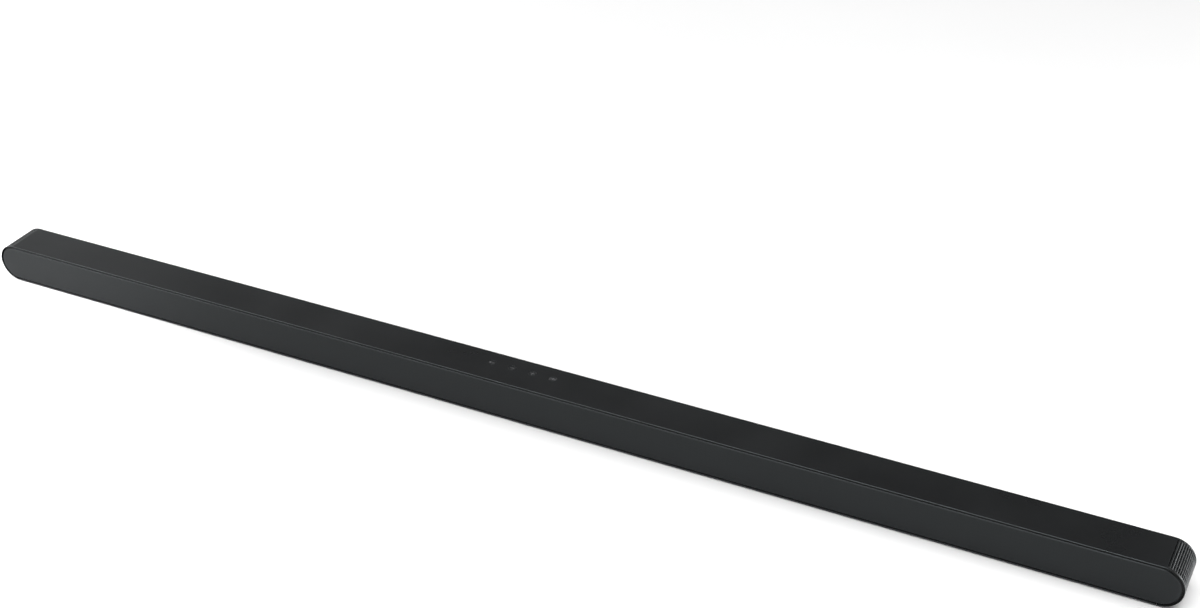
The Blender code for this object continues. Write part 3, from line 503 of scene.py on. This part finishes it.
def soft_rubber(name, colour):
    nodes = Nodes(name, 0.8)
    dust = nodes.noise(260, 5)
    nodes.colours(dust, tinted(colour, 0.8), tinted(colour, 1.5), 0.4, 0.8)
    nodes.bump(nodes.noise(2600, 3), 0.3, 0.05 * MM)
    return nodes.material


def circuit_board(name):
    """Green solder mask over copper tracks."""
    nodes = Nodes(name, 0.4)
    inputs = {"Vector": nodes.place, "Scale": 420.0, "Randomness": 0.55}
    cells = nodes.add("ShaderNodeTexVoronoi", inputs, feature="DISTANCE_TO_EDGE", distance="MANHATTAN")
    nodes.colours(cells.outputs["Distance"], (0.012, 0.07, 0.03), (0.02, 0.12, 0.05), 0.02, 0.06)
    nodes.bump(cells.outputs["Distance"], 0.1, 0.03 * MM)
    return nodes.material


def pressed_pulp(name, colour):
    nodes = Nodes(name, 0.9)
    fibres = nodes.noise(700, 6)
    nodes.colours(fibres, tinted(colour, 0.6), tinted(colour, 1.5))
    nodes.bump(fibres, 0.4, 0.1 * MM)
    return nodes.material


def clear_moulding(name):
    nodes = Nodes(name, 0.15)
    nodes.colours(nodes.noise(300), (0.75, 0.78, 0.8), (0.88, 0.9, 0.92))
    nodes.shader.inputs["Transmission Weight"].default_value = 0.8
    return nodes.material


DECK = moulded("casing_plastic", (0.0048, 0.0049, 0.0052), 0.29)
GRILLE = painted("grille_paint", (0.0058, 0.006, 0.0064), 0.36, 0.3)
CLOTH = woven("acoustic_cloth", (0.004, 0.004, 0.004), 3.77 * MM)
BACK = moulded("back_plastic", (0.016, 0.016, 0.017), 0.55, 2200)
CAP = moulded("button_plastic", (0.0058, 0.0059, 0.0062), 0.33)
MARK = moulded("button_mark_ink", (0.095, 0.095, 0.098), 0.5)
CHASSIS = moulded("chassis_plastic", (0.012, 0.012, 0.012), 0.6, 1500)
SOCKET = moulded("socket_plastic", (0.008, 0.008, 0.008), 0.3)
RUBBER = soft_rubber("rubber", (0.012, 0.012, 0.012))
BOARD = circuit_board("circuit_board")
ALUMINIUM = brushed("anodised_aluminium", (0.05, 0.05, 0.055), 0.4, (0.05, 1, 1))
BASKET = painted("basket_paint", (0.03, 0.03, 0.032), 0.4, 0.5)
MAGNET = brushed("magnet_plating", (0.5, 0.5, 0.5), 0.3, (1, 1, 0.1))
PULP = pressed_pulp("cone_pulp", (0.03, 0.03, 0.032))
SCREW = brushed("screw_oxide", (0.05, 0.05, 0.05), 0.35, (1, 1, 1))
BRASS = brushed("brass", (0.6, 0.42, 0.15), 0.3, (1, 0.1, 1))
NICKEL = brushed("nickel", (0.55, 0.55, 0.54), 0.25, (1, 1, 0.2))
PIPE = clear_moulding("light_pipe")
WIRE = soft_rubber("wire_jacket", (0.02, 0.02, 0.02))

SLOT_MATERIALS = {
    "casing": BACK,
    "grille": GRILLE,
    "cloth": CLOTH,
    "chassis": CHASSIS,
    "rubber": RUBBER,
    "button": CAP,
    "circuit_board": BOARD,
    "aluminium": ALUMINIUM,
    "basket": BASKET,
    "magnet": MAGNET,
    "cone": PULP,
    "screw": SCREW,
    "brass": BRASS,
    "socket_metal": NICKEL,
    "socket_plastic": SOCKET,
    "light_pipe": PIPE,
    "wire": WIRE,
}


def paint_nodes():
    """Every CAD node gets the material of its slot in the record."""
    for subpart in frame["record"]["subparts"]:
        node = frame["nodes"][subpart["node"]]
        material = SLOT_MATERIALS[subpart["material_slot"]]
        if not node.material_slots:
            node.data.materials.append(material)
        for material_slot in node.material_slots:
            material_slot.material = material


# ---- Casing ---------------------------------------------------------------------------------


def rim_profile(edge_y, inward):
    """(y, offset) points round one rim of the casing, from its inner face to its outer face."""
    slope = WALL - RIM_CHAMFER - RIM_FLAT
    return [
        (edge_y + inward * END_MARGIN, -WALL),
        (edge_y + inward * RIM_SLOPE * slope, -WALL),
        (edge_y, slope - WALL),
        (edge_y, -RIM_CHAMFER),
        (edge_y + inward * RIM_CHAMFER, 0),
        (edge_y + inward * END_MARGIN, 0),
    ]


def on_end(side, angle, y, offset):
    """A point on an end of the casing. The angle is from straight down, towards the end."""
    radius = RADIUS + offset
    return Vector((side * (TANGENT_X + radius * math.sin(angle)), y, MID_Z - radius * math.cos(angle)))


def end_angles():
    """The angle of each half cell, from straight down to the deck."""
    steps = 2 * END_COLUMNS
    return [math.pi * k / steps for k in range(steps + 1)]


def cell_rows():
    """The y of each half cell between the two rims."""
    start, end = FRONT + END_MARGIN, REAR - END_MARGIN
    steps = 2 * END_ROWS
    return [start + (end - start) * k / steps for k in range(steps + 1)]


# The corners of a cell and the middles of its sides, as (across the flute, along it)
AROUND = ((-1, -1), (0, -1), (1, -1), (1, 0), (1, 1), (0, 1), (-1, 1), (-1, 0))


def slot_rim(bm, side, column, row, rings, offset):
    """The skin of one cell of a flute, from the cell's edge in to its slot. Returns the slot's rim.

    Each ring is (share of the cell's width, of its length, sink of its sides, sink of its middle line).
    """
    start_angle, middle_angle = end_angles()[2 * column : 2 * column + 2]
    start_y, middle_y = cell_rows()[2 * row : 2 * row + 2]
    loops = []
    for across, along, side_sink, middle_sink in rings:
        points = []
        for i, j in AROUND:
            rounding = SLOT_ROUND if i and j and along < 1 else 0
            at_rim = along == 1 and (row, j) in ((0, -1), (END_ROWS - 1, 1))
            sink = middle_sink if i == 0 and not at_rim else side_sink
            angle = middle_angle + i * across * (middle_angle - start_angle)
            y = middle_y + j * (along - rounding) * (middle_y - start_y)
            points.append(on_end(side, angle, y, offset - sink))
        loops.append(ring(bm, points))
    for outer, inner in zip(loops, loops[1:]):
        bridge(bm, outer, inner)
    return loops[-1]


def perforate_end(bm, side):
    """One end between its rims: the flutes, with slots through the wall, and the plain strip."""
    angles, rows = end_angles(), cell_rows()
    for column in range(END_COLUMNS - END_PLAIN):
        middle_angle = angles[2 * column + 1]
        depth = FLUTE_DEPTH * min(1, min(middle_angle, math.pi - middle_angle) / FLUTE_FADE)
        outside = [
            (1, 1, 0, depth),
            (RIDGE_WIDTH, (1 + SLOT_LENGTH) / 2, RIDGE_SINK * depth, depth),
            (SLOT_WIDTH, SLOT_LENGTH, depth, depth),
        ]
        inside = [(1, 1, 0, 0), (SLOT_WIDTH, SLOT_LENGTH, 0, 0)]
        for row in range(END_ROWS):
            outer = slot_rim(bm, side, column, row, outside, 0)
            inner = slot_rim(bm, side, column, row, inside, -WALL)
            bridge(bm, outer, inner)
    for offset in (0, -WALL):
        strips = []
        for angle in angles[-2 * END_PLAIN - 1 :]:
            strips.append(ring(bm, [on_end(side, angle, y, offset) for y in rows]))
        for near, far in zip(strips, strips[1:]):
            bridge(bm, near, far, closed=False)


def casing_rims(bm):
    """The front and rear rims, swept from one lower tangent round the ends and the deck to the other."""
    for edge_y, inward in ((FRONT, 1), (REAR, -1)):
        profile = rim_profile(edge_y, inward)
        stations = []
        for side, angles in ((-1, end_angles()), (1, end_angles()[::-1])):
            for angle in angles:
                stations.append(ring(bm, [on_end(side, angle, y, offset) for y, offset in profile]))
        for near, far in zip(stations, stations[1:]):
            bridge(bm, near, far, closed=False)


def deck(bm):
    """The flat top between the ends and the rims, with a softened hole for each button."""
    top, under = band_high.z, band_high.z - WALL
    hole_radius = CAP_RADIUS + CAP_GAP
    rows = cell_rows()
    loops = {top: [], under: []}
    for z in loops:
        edge = [(TANGENT_X, y, z) for y in rows] + [(-TANGENT_X, y, z) for y in reversed(rows)]
        loops[z].append(ring(bm, edge))
    for name in BUTTONS:
        centre = middle_of(name)
        rims = []
        for wider, z in ((DECK_SOFTEN, top), (0, top - DECK_SOFTEN), (0, under)):
            circle = round_loop(centre.x, centre.y, hole_radius + wider, CAP_STEPS)
            rims.append(ring(bm, [(x, y, z) for x, y in circle]))
        bridge(bm, rims[0], rims[1])
        bridge(bm, rims[1], rims[2])
        loops[top].append(rims[0])
        loops[under].append(rims[-1])
    for level in loops.values():
        fill_between(bm, level)


def casing():
    """The whole band. Last come the faces under both ends, between their outer and inner skins."""
    bm = bmesh.new()
    for side in (-1, 1):
        perforate_end(bm, side)
    casing_rims(bm)
    deck(bm)
    bmesh.ops.remove_doubles(bm, verts=bm.verts, dist=WELD)
    lower_edges = [edge for edge in bm.edges if len(edge.link_faces) == 1]
    bmesh.ops.holes_fill(bm, edges=lower_edges)
    shell = finish_mesh("casing_shell", bm, DECK)
    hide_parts("casing_band")


# ---- Front ----------------------------------------------------------------------------------


def grille_rows():
    """(z of the row's underside, number of holes) of each row. Every other row is half a pitch along."""
    core = GRILLE_RADIUS - GRILLE_BORDER
    count = int(2 * core / GRILLE_ROW)
    rows = []
    for k in range(count):
        low = MID_Z + (k - count / 2) * GRILLE_ROW
        reach = max(abs(low - MID_Z), abs(low + GRILLE_ROW - MID_Z))
        half_length = TANGENT_X + math.sqrt(core**2 - reach**2)
        odd = k % 2
        cells = 2 * int(half_length / GRILLE_PITCH - odd / 2) + odd
        rows.append((low, cells))
    return rows


def grille():
    """The perforated plate: staggered hexagonal holes, a plain border and a chamfered edge."""
    angles = [math.pi / 3 * (k - 0.5) for k in range(6)]
    corners = [(GRILLE_HOLE * math.cos(a), GRILLE_HOLE * math.sin(a)) for a in angles]
    bm = bmesh.new()
    for low, cells in grille_rows():
        high, middle = low + GRILLE_ROW, low + GRILLE_ROW / 2
        for cell in range(cells):
            centre = (cell - (cells - 1) / 2) * GRILLE_PITCH
            left, right = centre - GRILLE_PITCH / 2, centre + GRILLE_PITCH / 2
            outline = [(right, low), (right, high), (centre, high)]
            outline += [(left, high), (left, low), (centre, low)]
            hole = [(centre + x, middle + z) for x, z in corners]
            rims = [ring(bm, [(x, FRONT, z) for x, z in points]) for points in (outline, hole)]
            bridge(bm, *rims)
    bmesh.ops.remove_doubles(bm, verts=bm.verts, dist=WELD)
    core_edges = outer_boundary(bm)
    back = grille_high.y
    profile = [(FRONT, GRILLE_EDGE), (FRONT + GRILLE_EDGE, 0), (back, 0), (back, GRILLE_BORDER / 2)]
    loops = stadium_loops(bm, GRILLE_RADIUS, profile)
    rim_edges = [bm.edges.get(pair) for pair in zip(loops[0], loops[0][1:] + loops[0][:1])]
    bmesh.ops.triangle_fill(bm, edges=core_edges + rim_edges, use_beauty=True)
    plate = finish_mesh("perforated_grille", bm, GRILLE)
    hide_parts("front_grille")


def stadium_loops(bm, radius, profile):
    """The bar's outline at each (y, distance inwards) of a profile, joined by a skin."""
    loops = [ring(bm, [(x, y, z) for x, z in stadium(radius - inward)]) for y, inward in profile]
    for outer, inner in zip(loops, loops[1:]):
        bridge(bm, outer, inner)
    return loops


def outer_boundary(bm):
    """The open edges that aren't round a hole. The edges of a hole are as long as GRILLE_HOLE."""
    longest = 1.05 * GRILLE_HOLE
    return [edge for edge in bm.edges if len(edge.link_faces) == 1 and edge.calc_length() > longest]


def acoustic_cloth():
    """The cloth stretched behind the grille, its edge turned back onto the baffle."""
    radius = (cloth_high.z - cloth_low.z) / 2
    turn = (cloth_high.y - cloth_low.y) / 2
    front, back = cloth_low.y, cloth_high.y
    bm = bmesh.new()
    loops = stadium_loops(bm, radius, [(front, turn), (front + turn / 2, 0), (back, 0), (back, turn)])
    for loop in (loops[0], loops[-1]):
        fill_between(bm, [loop])
    cloth = finish_mesh("stretched_cloth", bm, CLOTH)
    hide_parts("grille_cloth")


# ---- Buttons --------------------------------------------------------------------------------


def button_caps():
    """Dished caps, each with a lip under the deck and a stem to its switch."""
    for name in BUTTONS:
        low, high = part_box(name)
        height = high.z - low.z
        profile = [(CAP_RADIUS * out, CAP_DISH * down) for out, down in DISH_CURVE]
        profile += [
            (CAP_RADIUS - CAP_EDGE - CAP_LAND, 0),
            (CAP_RADIUS - CAP_EDGE, 0),
            (CAP_RADIUS - CAP_EDGE * CAP_EDGE_SAG, CAP_EDGE * CAP_EDGE_SAG),
            (CAP_RADIUS, CAP_EDGE),
            (CAP_RADIUS, LIP_DROP),
            (LIP_RADIUS, LIP_DROP),
            (LIP_RADIUS, LIP_BOTTOM_DROP),
            (STEM_RADIUS, LIP_BOTTOM_DROP),
            (STEM_RADIUS, height),
            (0, height),
        ]
        centre = middle_of(name)
        bm = bmesh.new()
        turned(bm, moved(on_upper(high.z), centre.x, centre.y), profile, CAP_STEPS)
        cap = finish_mesh(name + "_key", bm, CAP, name + "_cap")
        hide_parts(name)
        button_mark(name, centre, high.z)


def bar(start, end, width, steps=6):
    """The loop of a straight stroke with round ends."""
    turn = math.atan2(end[1] - start[1], end[0] - start[0])
    radius = width / 2
    loop = []
    for (u, v), first in ((end, turn - math.pi / 2), (start, turn + math.pi / 2)):
        for k in range(steps + 1):
            angle = first + math.pi * k / steps
            loop.append((u + radius * math.cos(angle), v + radius * math.sin(angle)))
    return loop


def arc_band(radius, width, start, end, steps=16):
    """The loop of a stroke along an arc round the origin."""
    angles = [math.radians(start + (end - start) * k / steps) for k in range(steps + 1)]
    outer, inner = radius + width / 2, radius - width / 2
    loop = [(outer * math.cos(a), outer * math.sin(a)) for a in angles]
    return loop + [(inner * math.cos(a), inner * math.sin(a)) for a in reversed(angles)]


def mark_strokes(name):
    """Generic signs as loops of (u, v) round a cap's middle."""
    fine = MARK_WIDTH * FINE_WEIGHT
    if name == "button_multi":
        return [round_loop(DOT_X, 0, DOT_RADIUS), bar((0, 0), (DASH_END, 0), fine)]
    if name == "button_volume_down":
        return [bar((-MARK_REACH, 0), (MARK_REACH, 0), MARK_WIDTH * MINUS_WEIGHT)]
    if name == "button_volume_up":
        return [cross_loop((0, 0), MARK_REACH + MARK_WIDTH / 2, MARK_WIDTH * PLUS_WEIGHT / 2)]
    low, high = CAPSULE_ENDS
    strokes = [bar((0, low), (0, high), CAPSULE_WIDTH)]
    for side in (0, 180):
        strokes += [arc_band(radius, fine, side - sweep, side + sweep) for radius, sweep in WAVES]
    return strokes


def button_mark(name, centre, top):
    bm = bmesh.new()
    place = moved(on_upper(top + MARK_RISE), centre.x, centre.y)
    for loop in mark_strokes(name):
        slab(bm, place, loop, [], MARK_DEPTH, MARK_SOFTEN)
    finish_mesh(name + "_mark", bm, MARK, name + "_cap")


# ---- Back -----------------------------------------------------------------------------------


def rear_outline(side, inner_x):
    """The round end of a rear cover, closed by an upright line at inner_x, anticlockwise."""
    line = [(inner_x, MID_Z + side * REAR_RADIUS), (inner_x, MID_Z - side * REAR_RADIUS)]
    return line + round_end(side, REAR_RADIUS)


def rear_covers():
    """The back on each side of the sockets, with vents for the amplifier and bores for the inserts."""
    vents = []
    for k in range(VENTS):
        x_span = span((k - (VENTS - 1) / 2) * VENT_PITCH, VENT_WIDTH)
        vents.append(rectangle(x_span, span(MID_Z, VENT_HEIGHT), VENT_CORNER))
    for side, name, holes in ((-1, "left", vents), (1, "right", [])):
        low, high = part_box("rear_cover_" + name)
        inner_x = high.x if side < 0 else low.x
        insert = middle_of("wall_insert_" + name)
        bore = round_loop(insert.x, insert.z, INSERT_HOLE_RADIUS)
        bm = bmesh.new()
        slab(bm, on_back(REAR), rear_outline(side, inner_x), [bore, *holes], REAR_THICKNESS, REAR_SOFTEN)
        boss = round_loop(insert.x, insert.z, BOSS_RADIUS)
        boss_length = REAR - REAR_THICKNESS - low.y
        slab(bm, on_back(REAR - REAR_THICKNESS), boss, [bore], boss_length, 0)
        cover = finish_mesh(f"rear_skin_{name}", bm, BACK)
        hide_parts("rear_cover_" + name)


def wall_inserts():
    """Brass bushes with a flange chamfer and a threaded bore."""
    for name in ("wall_insert_left", "wall_insert_right"):
        low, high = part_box(name)
        centre, length = middle_of(name), high.y - low.y
        pitch = length / (THREAD_TURNS + 1)
        outer = (high.x - low.x) / 2
        inner = outer * INSERT_BORE
        profile = [(outer - INSERT_CHAMFER, 0), (outer, INSERT_CHAMFER)]
        profile += [(outer, length), (inner, length)]
        for k in range(THREAD_TURNS, 0, -1):
            profile += [(inner + THREAD_DEPTH, (k + 0.5) * pitch), (inner, k * pitch)]
        profile.append((inner + INSERT_MOUTH, 0))
        bm = bmesh.new()
        turned(bm, moved(on_back(high.y), centre.x, centre.z), profile)
        bush = finish_mesh(name + "_bush", bm, BRASS)
        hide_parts(name)


def socket_panel():
    """The face round the recess, and the tray of the recess with its socket windows."""
    bm = bmesh.new()
    x_span, z_span = (panel_low.x, panel_high.x), (panel_low.z, panel_high.z)
    mouth = rectangle(BAY_X, BAY_Z, BAY_CORNER)
    slab(bm, on_back(REAR), rectangle(x_span, z_span), [mouth], REAR_THICKNESS, REAR_SOFTEN)
    tray_x = (BAY_X[0] - BAY_WALL, BAY_X[1] + BAY_WALL)
    tray_y = (BAY_FLOOR_Y - BAY_WALL, REAR - REAR_THICKNESS)
    tray_z = (BAY_Z[0] - BAY_WALL, BAY_Z[1] + BAY_WALL)
    slab(bm, on_back(BAY_FLOOR_Y), rectangle(tray_x, tray_z), [], BAY_WALL, 0)
    slab(bm, on_underside(BAY_Z[1]), rectangle(tray_x, tray_y), [], BAY_WALL, 0)
    slab(bm, on_upper(BAY_Z[0]), rectangle(tray_x, tray_y), [], BAY_WALL, 0)
    for place, sockets in (
        (facing_right(BAY_X[0]), ["hdmi_socket"]),
        (facing_left(BAY_X[1]), ["dc_jack", "optical_socket"]),
    ):
        windows = []
        for low, high in map(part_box, sockets):
            y_span, z_span = (low.y - GAP, high.y + GAP), (low.z - GAP, high.z + GAP)
            windows.append(rectangle(y_span, z_span, WINDOW_CORNER))
        slab(bm, place, rectangle(tray_y, tray_z), windows, BAY_WALL, WINDOW_SOFTEN)
    panel = finish_mesh("socket_bay", bm, BACK)
    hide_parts("socket_panel")


def socket_block(node, facing, corner, mouth, cavity, soften):
    """The mesh of a block whose face has a mouth that goes in as far as cavity."""
    low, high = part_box(node)
    outline = rectangle((low.y, high.y), (low.z, high.z), corner)
    face = facing(high.x if facing is facing_right else low.x)
    bm = bmesh.new()
    slab(bm, face, outline, [mouth], cavity, soften)
    slab(bm, lambda u, v, w: face(u, v, cavity + w), outline, [], high.x - low.x - cavity, 0)
    return bm


def hdmi():
    """A plated shell with a cut-cornered mouth, and a tongue with its rows of contacts."""
    low_y, high_y = hdmi_low.y + HDMI_SHELL, hdmi_high.y - HDMI_SHELL
    low_z, high_z = hdmi_low.z + HDMI_SHELL, hdmi_high.z - HDMI_SHELL
    mouth = [
        (low_y, low_z),
        (high_y - HDMI_CORNER, low_z),
        (high_y, low_z + HDMI_CORNER),
        (high_y, high_z - HDMI_CORNER),
        (high_y - HDMI_CORNER, high_z),
        (low_y, high_z),
    ]
    bm = socket_block("hdmi_socket", facing_right, HDMI_ROUND, mouth, HDMI_CAVITY, HDMI_SOFTEN)
    shell = finish_mesh("hdmi_shell", bm, NICKEL)
    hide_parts("hdmi_socket")
    centre = middle_of("hdmi_socket")
    tip = hdmi_high.x - TONGUE_SINK
    length = HDMI_CAVITY - TONGUE_SINK
    middle_y = centre.y + TONGUE_SHIFT
    thickness, height = TONGUE_SIZE
    bm = bmesh.new()
    tongue = rectangle(span(middle_y, thickness), span(centre.z, height))
    slab(bm, facing_right(tip), tongue, [], length, TONGUE_SOFTEN)
    finish_mesh("hdmi_tongue", bm, SOCKET)
    contact_thickness, contact_width = CONTACT_SIZE
    bm = bmesh.new()
    for k in range(CONTACTS):
        z = centre.z + (k - (CONTACTS - 1) / 2) * CONTACT_PITCH
        y = middle_y + (thickness / 2 if k % 2 else -thickness / 2)
        strip = rectangle(span(y, contact_thickness), span(z, contact_width))
        slab(bm, facing_right(tip - CONTACT_SINK), strip, [], length - CONTACT_SINK, 0)
    finish_mesh("hdmi_contacts", bm, BRASS)


def power_jack():
    """A moulded block with a sprung sleeve in its bore and a centre pin."""
    centre = middle_of("dc_jack")
    bore = round_loop(centre.y, centre.z, DC_BORE_RADIUS, TURN_STEPS)
    bm = socket_block("dc_jack", facing_left, BLOCK_CORNER, bore, DC_BORE_DEPTH, BLOCK_SOFTEN)
    block = finish_mesh("dc_block", bm, SOCKET)
    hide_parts("dc_jack")
    place = moved(facing_left(dc_low.x), centre.y, centre.z)
    outer, inner = DC_BORE_RADIUS, DC_BORE_RADIUS - DC_SLEEVE_WALL
    outer_sink, inner_sink = DC_SLEEVE_SINK
    sleeve = [(outer, outer_sink), (outer, DC_BORE_DEPTH), (inner, DC_BORE_DEPTH), (inner, inner_sink)]
    nose = [(DC_PIN_RADIUS * share, w) for share, w in DC_PIN_NOSE]
    bm = bmesh.new()
    turned(bm, place, sleeve)
    turned(bm, place, [*nose, (DC_PIN_RADIUS, DC_BORE_DEPTH), (0, DC_BORE_DEPTH)])
    finish_mesh("dc_contacts", bm, NICKEL)


def optical():
    """A moulded block with a cut-cornered mouth, and the shutter with its recessed face."""
    centre = middle_of("optical_socket")
    low_y, high_y = span(centre.y, OPTICAL_MOUTH)
    low_z, high_z = span(centre.z, OPTICAL_MOUTH)
    mouth = [
        (low_y, low_z),
        (high_y, low_z),
        (high_y, high_z - OPTICAL_CORNER),
        (high_y - OPTICAL_CORNER, high_z),
        (low_y + OPTICAL_CORNER, high_z),
        (low_y, high_z - OPTICAL_CORNER),
    ]
    bm = socket_block("optical_socket", facing_left, BLOCK_CORNER, mouth, OPTICAL_CAVITY, BLOCK_SOFTEN)
    block = finish_mesh("optical_block", bm, SOCKET)
    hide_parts("optical_socket")
    low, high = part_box("optical_shutter")
    flap = rectangle((low.y, high.y), (low.z, high.z), FLAP_CORNER)
    window_y = (low.y + FLAP_BORDER, high.y - FLAP_BORDER)
    window_z = (low.z + FLAP_BORDER, high.z - FLAP_HINGE_BORDER)
    window = rectangle(window_y, window_z, FLAP_WINDOW_CORNER)
    thickness = high.x - low.x
    recess = thickness * FLAP_WINDOW_DEPTH
    bm = bmesh.new()
    slab(bm, facing_left(low.x), flap, [window], recess, FLAP_SOFTEN)
    slab(bm, facing_left(low.x + recess), flap, [], thickness - recess, 0)
    shutter = finish_mesh("optical_flap", bm, CHASSIS, "shutter")
    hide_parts("optical_shutter")


# ---- Underside ------------------------------------------------------------------------------


def screw_places():
    return [middle_of(f"bottom_screw_{k}") for k in range(1, 5)]


def peg_places(name):
    """(x, y) of the two pegs of a foot."""
    foot = middle_of(name)
    return [(foot.x + side * PEG_SPACING / 2, foot.y) for side in (-1, 1)]


def bottom_cover():
    bm = bmesh.new()
    outline = rectangle((cover_low.x, cover_high.x), (cover_low.y, cover_high.y))
    holes = [round_loop(place.x, place.y, SCREW_SHANK_RADIUS + GAP) for place in screw_places()]
    for x, y in peg_places("foot_left") + peg_places("foot_right"):
        holes.append(round_loop(x, y, PEG_RADIUS + GAP))
    slab(bm, on_underside(cover_low.z), outline, holes, WALL, COVER_SOFTEN)
    cover = finish_mesh("bottom_skin", bm, BACK)
    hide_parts("bottom_cover")


def rubber_feet():
    """Pads with rounded corners and a ribbed tread, each on its two pegs."""
    for name in ("foot_left", "foot_right"):
        low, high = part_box(name)
        bm = bmesh.new()
        outline = rectangle((low.x, high.x), (low.y, high.y), PAD_ROUND)
        slab(bm, on_underside(low.z + TREAD_DEPTH), outline, [], PAD_HEIGHT - TREAD_DEPTH, PAD_SOFTEN)
        pitch = (high.y - low.y) / TREADS
        for k in range(TREADS):
            inset_x = PAD_ROUND * (OUTER_TREAD_INSET if k in (0, TREADS - 1) else TREAD_INSET)
            y_span = span(low.y + pitch * (k + 0.5), pitch * TREAD_WIDTH)
            rib = rectangle((low.x + inset_x, high.x - inset_x), y_span, TREAD_CORNER)
            slab(bm, on_underside(low.z), rib, [], TREAD_DEPTH + OVERLAP, TREAD_SOFTEN)
        for x, y in peg_places(name):
            peg = round_loop(x, y, PEG_RADIUS)
            slab(bm, on_underside(PAD_HEIGHT - OVERLAP), peg, [], high.z - PAD_HEIGHT, 0)
        pad = finish_mesh(name + "_pad", bm, RUBBER)
        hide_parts(name)


def bottom_screws():
    """Pan heads with a cross recess, and their shanks."""
    for k, centre in enumerate(screw_places()):
        low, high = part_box(f"bottom_screw_{k + 1}")
        head = (high.x - low.x) / 2
        recess = SCREW_HEAD * CROSS_DEPTH
        outline = round_loop(centre.x, centre.y, head, TURN_STEPS)
        bm = bmesh.new()
        cross = cross_loop(centre, CROSS_REACH, CROSS_WIDTH / 2)
        slab(bm, on_underside(low.z), outline, [cross], recess, SCREW_SOFTEN)
        slab(bm, on_underside(low.z + recess), outline, [], SCREW_HEAD - recess, 0)
        shank = round_loop(centre.x, centre.y, SCREW_SHANK_RADIUS)
        slab(bm, on_underside(low.z + SCREW_HEAD), shank, [], high.z - low.z - SCREW_HEAD, 0)
        screw = finish_mesh(f"cross_head_screw_{k + 1}", bm, SCREW)
        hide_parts(f"bottom_screw_{k + 1}")


# ---- Stage ----------------------------------------------------------------------------------

VIEW_AZIMUTH = math.radians(27.42)
VIEW_ELEVATION = math.radians(31.93)
VIEW_ROLL = math.radians(-1.11)
CAMERA_PLACE = Vector((0.6917, -1.1824, 0.9622))
LENS = 56.49  # mm, for a sensor 36 mm wide
FLOOR_REACH = 30  # m, from the middle of the floor to each edge


def camera():
    data = bpy.data.cameras.new("camera")
    data.lens = LENS
    obj = bpy.data.objects.new("camera", data)
    turn = Matrix.Rotation(VIEW_AZIMUTH, 4, "Z")
    tip = Matrix.Rotation(math.pi / 2 - VIEW_ELEVATION, 4, "X")
    roll = Matrix.Rotation(VIEW_ROLL, 4, "Z")
    obj.matrix_world = Matrix.Translation(CAMERA_PLACE) @ turn @ tip @ roll
    bpy.context.scene.collection.objects.link(obj)
    bpy.context.scene.camera = obj


def floor():
    bm = bmesh.new()
    bmesh.ops.create_grid(bm, x_segments=1, y_segments=1, size=FLOOR_REACH)
    mesh = bpy.data.meshes.new("floor")
    bm.to_mesh(mesh)
    bm.free()
    nodes = Nodes("floor_paper", 0.9)
    nodes.colours(nodes.noise(2), (0.88, 0.88, 0.88), (0.9, 0.9, 0.9))
    nodes.shader.inputs["Specular IOR Level"].default_value = 0.1
    mesh.materials.append(nodes.material)
    obj = bpy.data.objects.new("floor", mesh)
    bpy.context.scene.collection.objects.link(obj)


def area_light(name, place, target, size, power, spread=180):
    """A rectangular light at place that looks at target, of so many watts and degrees of spread."""
    data = bpy.data.lights.new(name, "AREA")
    data.shape = "RECTANGLE"
    data.size, data.size_y = size
    data.energy = power
    data.spread = math.radians(spread)
    obj = bpy.data.objects.new(name, data)
    place, target = Vector(place), Vector(target)
    obj.location = place
    obj.rotation_euler = (target - place).to_track_quat("-Z", "Y").to_euler()
    obj.visible_camera = False
    bpy.context.scene.collection.objects.link(obj)


def lights():
    """A studio bright at the horizon, a softbox overhead, a strip in front, and washes at the ends."""
    world = bpy.data.worlds.new("studio")
    world.use_nodes = True
    tree = world.node_tree
    place = tree.nodes.new("ShaderNodeTexCoord").outputs["Generated"]
    height = tree.nodes.new("ShaderNodeSeparateXYZ")
    ramp = tree.nodes.new("ShaderNodeValToRGB")
    tree.links.new(place, height.inputs["Vector"])
    tree.links.new(height.outputs["Z"], ramp.inputs["Fac"])
    tree.links.new(ramp.outputs["Color"], tree.nodes["Background"].inputs["Color"])
    # (sine of the height above the horizon, brightness)
    levels = ((0.0, 2.2), (0.2, 1.4), (0.42, 0.19), (0.6, 0.05), (0.75, 0.05), (0.88, 1.0), (1.0, 1.6))
    while len(ramp.color_ramp.elements) < len(levels):
        ramp.color_ramp.elements.new(0.5)
    for element, (position, level) in zip(ramp.color_ramp.elements, levels):
        element.position = position
        element.color = (level, level, level, 1)
    bpy.context.scene.world = world
    area_light("overhead", (-0.8, 0.1, 3.0), (-0.8, 0.1, 0), (5.0, 3.0), 40)
    area_light("front_strip", (-1.4, -1.72, 2.2), (-1.4, 0, 0), (4.6, 0.5), 62)
    area_light("left_end_wash", (-0.62, -0.4, 0.4), (-0.55, -0.04, 0), (0.25, 0.25), 0.27, 45)
    area_light("right_floor_wash", (0.95, 0.3, 1.0), (0.95, 0.3, 0), (0.6, 0.6), 2.0, 100)
    area_light("right_back", (1.8, 1.55, 0.1), (0.57, 0, 0.02), (1.2, 0.2), 5.5)
    area_light("left_back", (-1.5, 0.95, 0.84), (-0.55, 0, 0.04), (0.4, 0.4), 0.12)


camera()
floor()
lights()
paint_nodes()
casing()
grille()
acoustic_cloth()
button_caps()
rear_covers()
wall_inserts()
socket_panel()
hdmi()
power_jack()
optical()
bottom_cover()
rubber_feet()
bottom_screws()

bpy.context.scene.view_settings.view_transform = "Standard"
